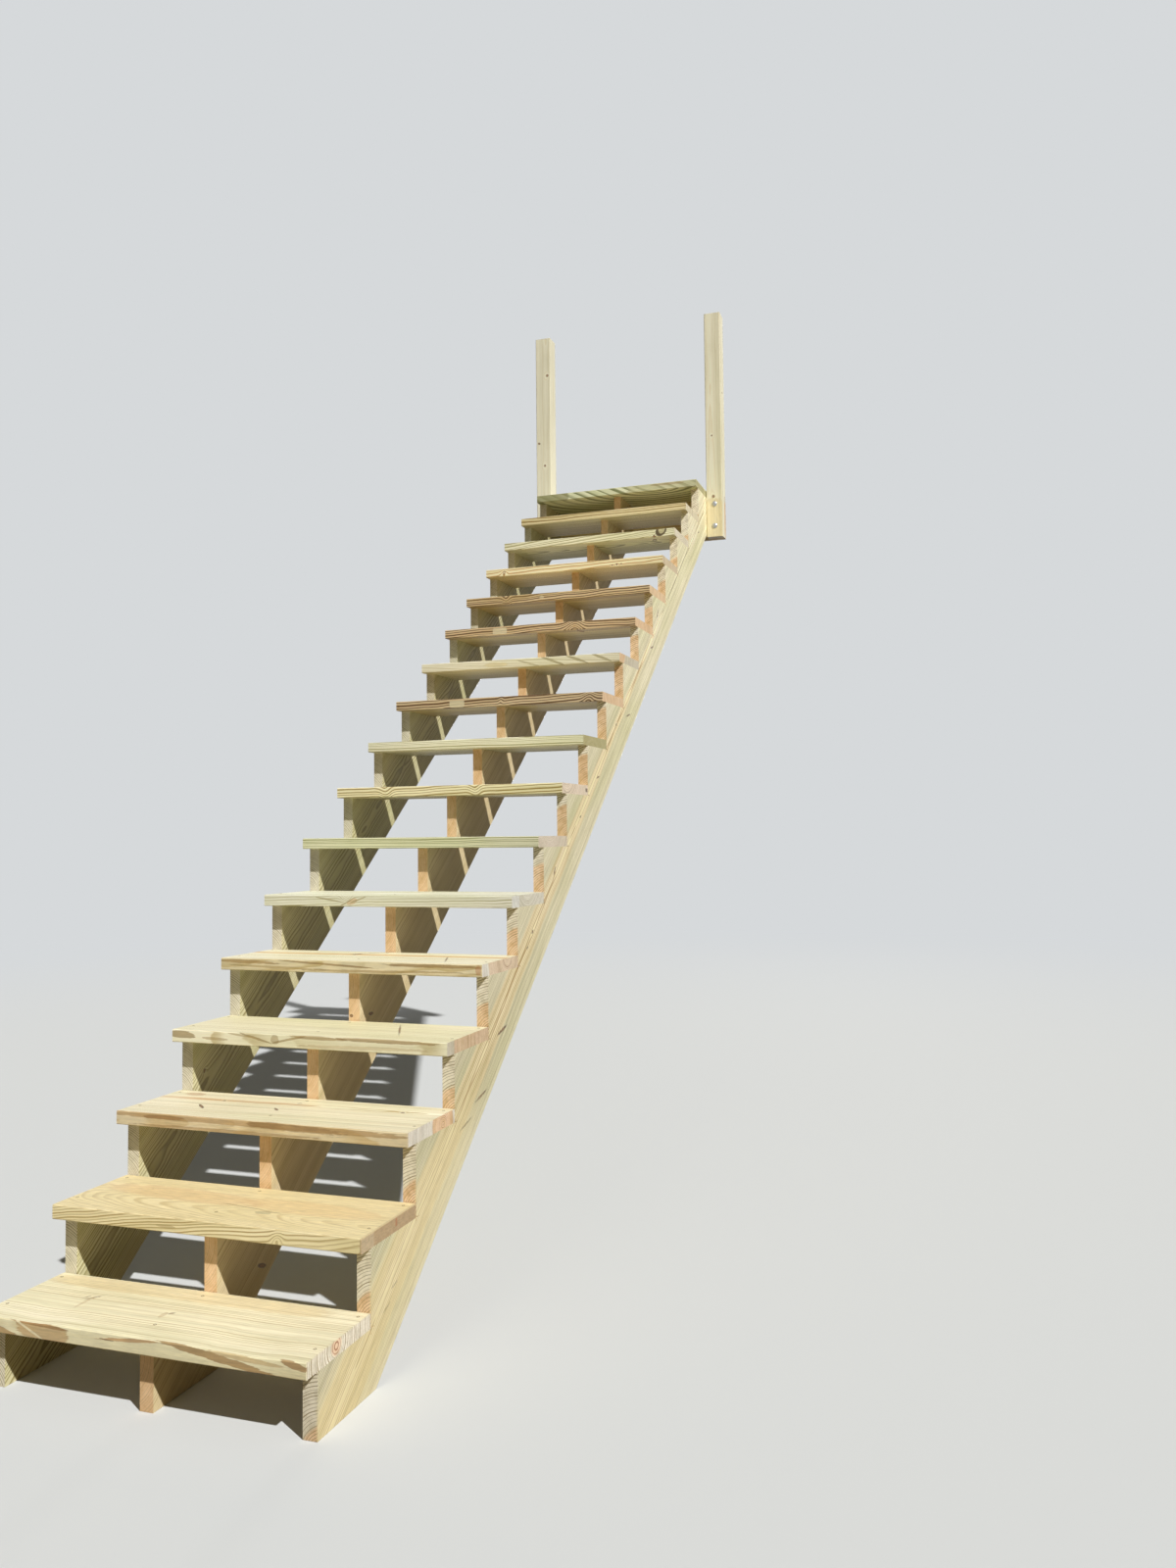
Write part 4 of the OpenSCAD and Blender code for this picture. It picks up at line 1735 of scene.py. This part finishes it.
@dataclass
class Studio:
    """Pale floor, soft light and the camera at the photograph's angle.

    Attributes:
        camera_at: Where the camera stands.
        right: Direction of the picture's right side.
        up: Direction of its upper side.
        ahead: Direction that the camera looks in.
        lens: Focal length in millimetres, for a picture `film` millimetres high.
        film: Height of the picture in the camera, in millimetres.
        sight: How far the camera sees.
        to_sun: Direction of the sun.
        sun: Its strength and its spread in degrees.
        to_back: Direction of the low lamp behind the stairs.
        back: Its strength and its spread in degrees.
        lamp: Colour of both lamps.
        to_sky: Where the sky is brightest.
        sky_reach: Where, from -1 to 1 towards `to_sky`, the sky's dark side ends and its bright side starts.
        sky_dark: Light of the sky's dark side.
        sky_bright: Light of its bright side.
        fill: How much of the sky's light falls on the stairs.
        backdrop: Colour of the floor and the backdrop, as the camera sees them.
        bounce: Colour of the light that the floor throws back.
        sunny: The same near the foot of the stairs.
        foot: Middle of the sunny ground.
        sunny_reach: Where, outwards from `foot`, the sunny ground starts to fade and where it ends.
        centre: Middle of the floor.
        radius: Radius of the floor.
        sink: How far the floor lies under the stairs, so that their soles don't flicker.
        melt_from: Where the floor starts to melt into the backdrop, from a place under the stairs.
        melt: Between which distances it melts.
    """

    camera_at: Triple = (1.89105, -6.45530, -1.75922)
    right: Triple = (0.94753288, 0.31948735, -0.01045371)
    up: Triple = (0.02357621, -0.03723364, 0.99902844)
    ahead: Triple = (-0.31878772, 0.94685875, 0.04281239)
    lens: float = 27.1207
    film: float = 36.0
    sight: float = 200.0
    to_sun: Triple = (0.600, -0.3855, 0.701)
    sun: Pair = (4.15, 1.0)
    to_back: Triple = (-0.10, 0.99, 0.03)
    back: Pair = (1.3, 10.0)
    lamp: Triple = (1.0, 0.985, 0.955)
    to_sky: Triple = (-0.50, -0.50, 0.70)
    sky_reach: Pair = (-0.1, 0.9)
    sky_dark: Rgba = (0.05, 0.043, 0.030, 1.0)
    sky_bright: Rgba = (1.95, 1.82, 1.40, 1.0)
    fill: float = 0.070
    backdrop: Triple = (214, 217, 219)
    bounce: Triple = (76, 64, 36)
    sunny: Triple = (132, 117, 84)
    foot: Triple = (0.2, -4.6, FLIGHT.ground)
    sunny_reach: Pair = (0.7, 2.0)
    centre: Triple = (0.0, -2.0, FLIGHT.ground)
    radius: float = 60.0
    sink: float = 0.0005
    melt_from: Triple = (0.0, -2.5, 0.0)
    melt: Pair = (3.5, 12.0)

    @staticmethod
    def _seen(graph: Graph) -> Socket:
        """Tells what the camera, a mirror or glass sees from what only lights the stairs.

        Args:
            graph: The graph that asks.

        Returns:
            1 where it is seen, else 0.
        """
        path = graph.node("ShaderNodeLightPath").outputs
        seen = graph.maths("MAXIMUM", path["Is Camera Ray"], path["Is Glossy Ray"])
        return graph.maths("MAXIMUM", seen, path["Is Transmission Ray"])

    def camera(self) -> None:
        """Stands the camera where the photograph was taken."""
        data = bpy.data.cameras.new("camera")
        data.sensor_fit = "VERTICAL"
        data.sensor_height = self.film
        data.lens = self.lens
        data.clip_end = self.sight
        camera = add_object("camera", data)
        turn = Matrix((self.right, self.up, [-c for c in self.ahead])).transposed()
        camera.matrix_world = Matrix.Translation(self.camera_at) @ turn.to_4x4()
        bpy.context.scene.camera = camera

    def lights(self) -> None:
        """A sun from the front right, a weak low lamp from behind and a soft sky."""
        lamps = (("sun", self.to_sun, self.sun), ("back_light", self.to_back, self.back))
        for name, way, (power, spread) in lamps:
            data = bpy.data.lights.new(name, "SUN")
            data.energy = power
            data.angle = math.radians(spread)
            data.color = self.lamp
            add_object(name, data).matrix_world = Vector(way).to_track_quat("Z", "Y").to_matrix().to_4x4()
        world = bpy.data.worlds.new("studio")
        world.use_nodes = True
        bpy.context.scene.world = world
        graph = Graph(world.node_tree)
        height = graph.vector("DOT_PRODUCT", graph.node("ShaderNodeTexCoord").outputs["Generated"], self.to_sky)
        sky = graph.mix(graph.step(height, *self.sky_reach), self.sky_dark, self.sky_bright)
        seen = self._seen(graph)
        strength = graph.plus(self.fill, graph.times(seen, 1.0 - self.fill))
        inputs = {"Color": graph.mix(seen, sky, tone(*self.backdrop)), "Strength": strength}
        graph.feed(world.node_tree.nodes["Background"], inputs)

    def floor(self) -> None:
        """Lays a wide plain floor."""
        bm = bmesh.new()
        bmesh.ops.create_circle(bm, cap_ends=True, segments=96, radius=self.radius)
        bmesh.ops.translate(bm, verts=bm.verts, vec=Vector(self.centre) - Vector((0.0, 0.0, self.sink)))
        mesh = bpy.data.meshes.new("floor")
        bm.to_mesh(mesh)
        bm.free()
        mesh.materials.append(self._floor_finish())
        add_object("floor", mesh)

    def _floor_finish(self) -> bpy.types.Material:
        """The floor's finish, which melts into the backdrop and throws back warm light.

        Returns:
            The material.
        """
        material, graph, shader = new_material("plain_floor")
        where = graph.node("ShaderNodeTexCoord").outputs["Object"]
        away = graph.vector("LENGTH", graph.vector("SUBTRACT", where, self.foot))
        thrown = graph.mix(graph.step(away, *self.sunny_reach), tone(*self.sunny), tone(*self.bounce))
        seen = self._seen(graph)
        colour = graph.mix(seen, thrown, tone(*self.backdrop))
        graph.feed(shader, {"Roughness": 0.9, "Specular IOR Level": 0.1, "Base Color": colour})
        far = graph.node("ShaderNodeEmission", {"Color": tone(*self.backdrop)})
        level = graph.vector("MULTIPLY", graph.vector("SUBTRACT", where, self.melt_from), (1.0, 1.0, 0.0))
        melted = graph.times(graph.step(graph.vector("LENGTH", level), *self.melt), seen)
        blend = graph.node("ShaderNodeMixShader", {0: melted, 1: shader.outputs[0], 2: far.outputs[0]})
        graph.feed(material.node_tree.nodes["Material Output"], {"Surface": blend.outputs[0]})
        return material


def main() -> None:
    """Builds the stairs, dresses them and sets up the studio."""
    logging.basicConfig(level=logging.INFO, format="%(message)s")
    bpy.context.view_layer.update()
    bpy.context.scene.view_settings.view_transform = "Standard"
    studio = Studio()
    studio.camera()
    studio.lights()
    studio.floor()
    groups = WoodGroups()
    for assembly in (Stringers(), Treads(), Header(), Newels()):
        assembly.build()
        assembly.dress(groups)
        LOG.info("%s done", type(assembly).__name__)
    for fixing in (CarriageBolts(), DeckScrews()):
        fixing.build()
        fixing.dress()
        LOG.info("%s done", type(fixing).__name__)


if __name__ == "__main__":
    main()
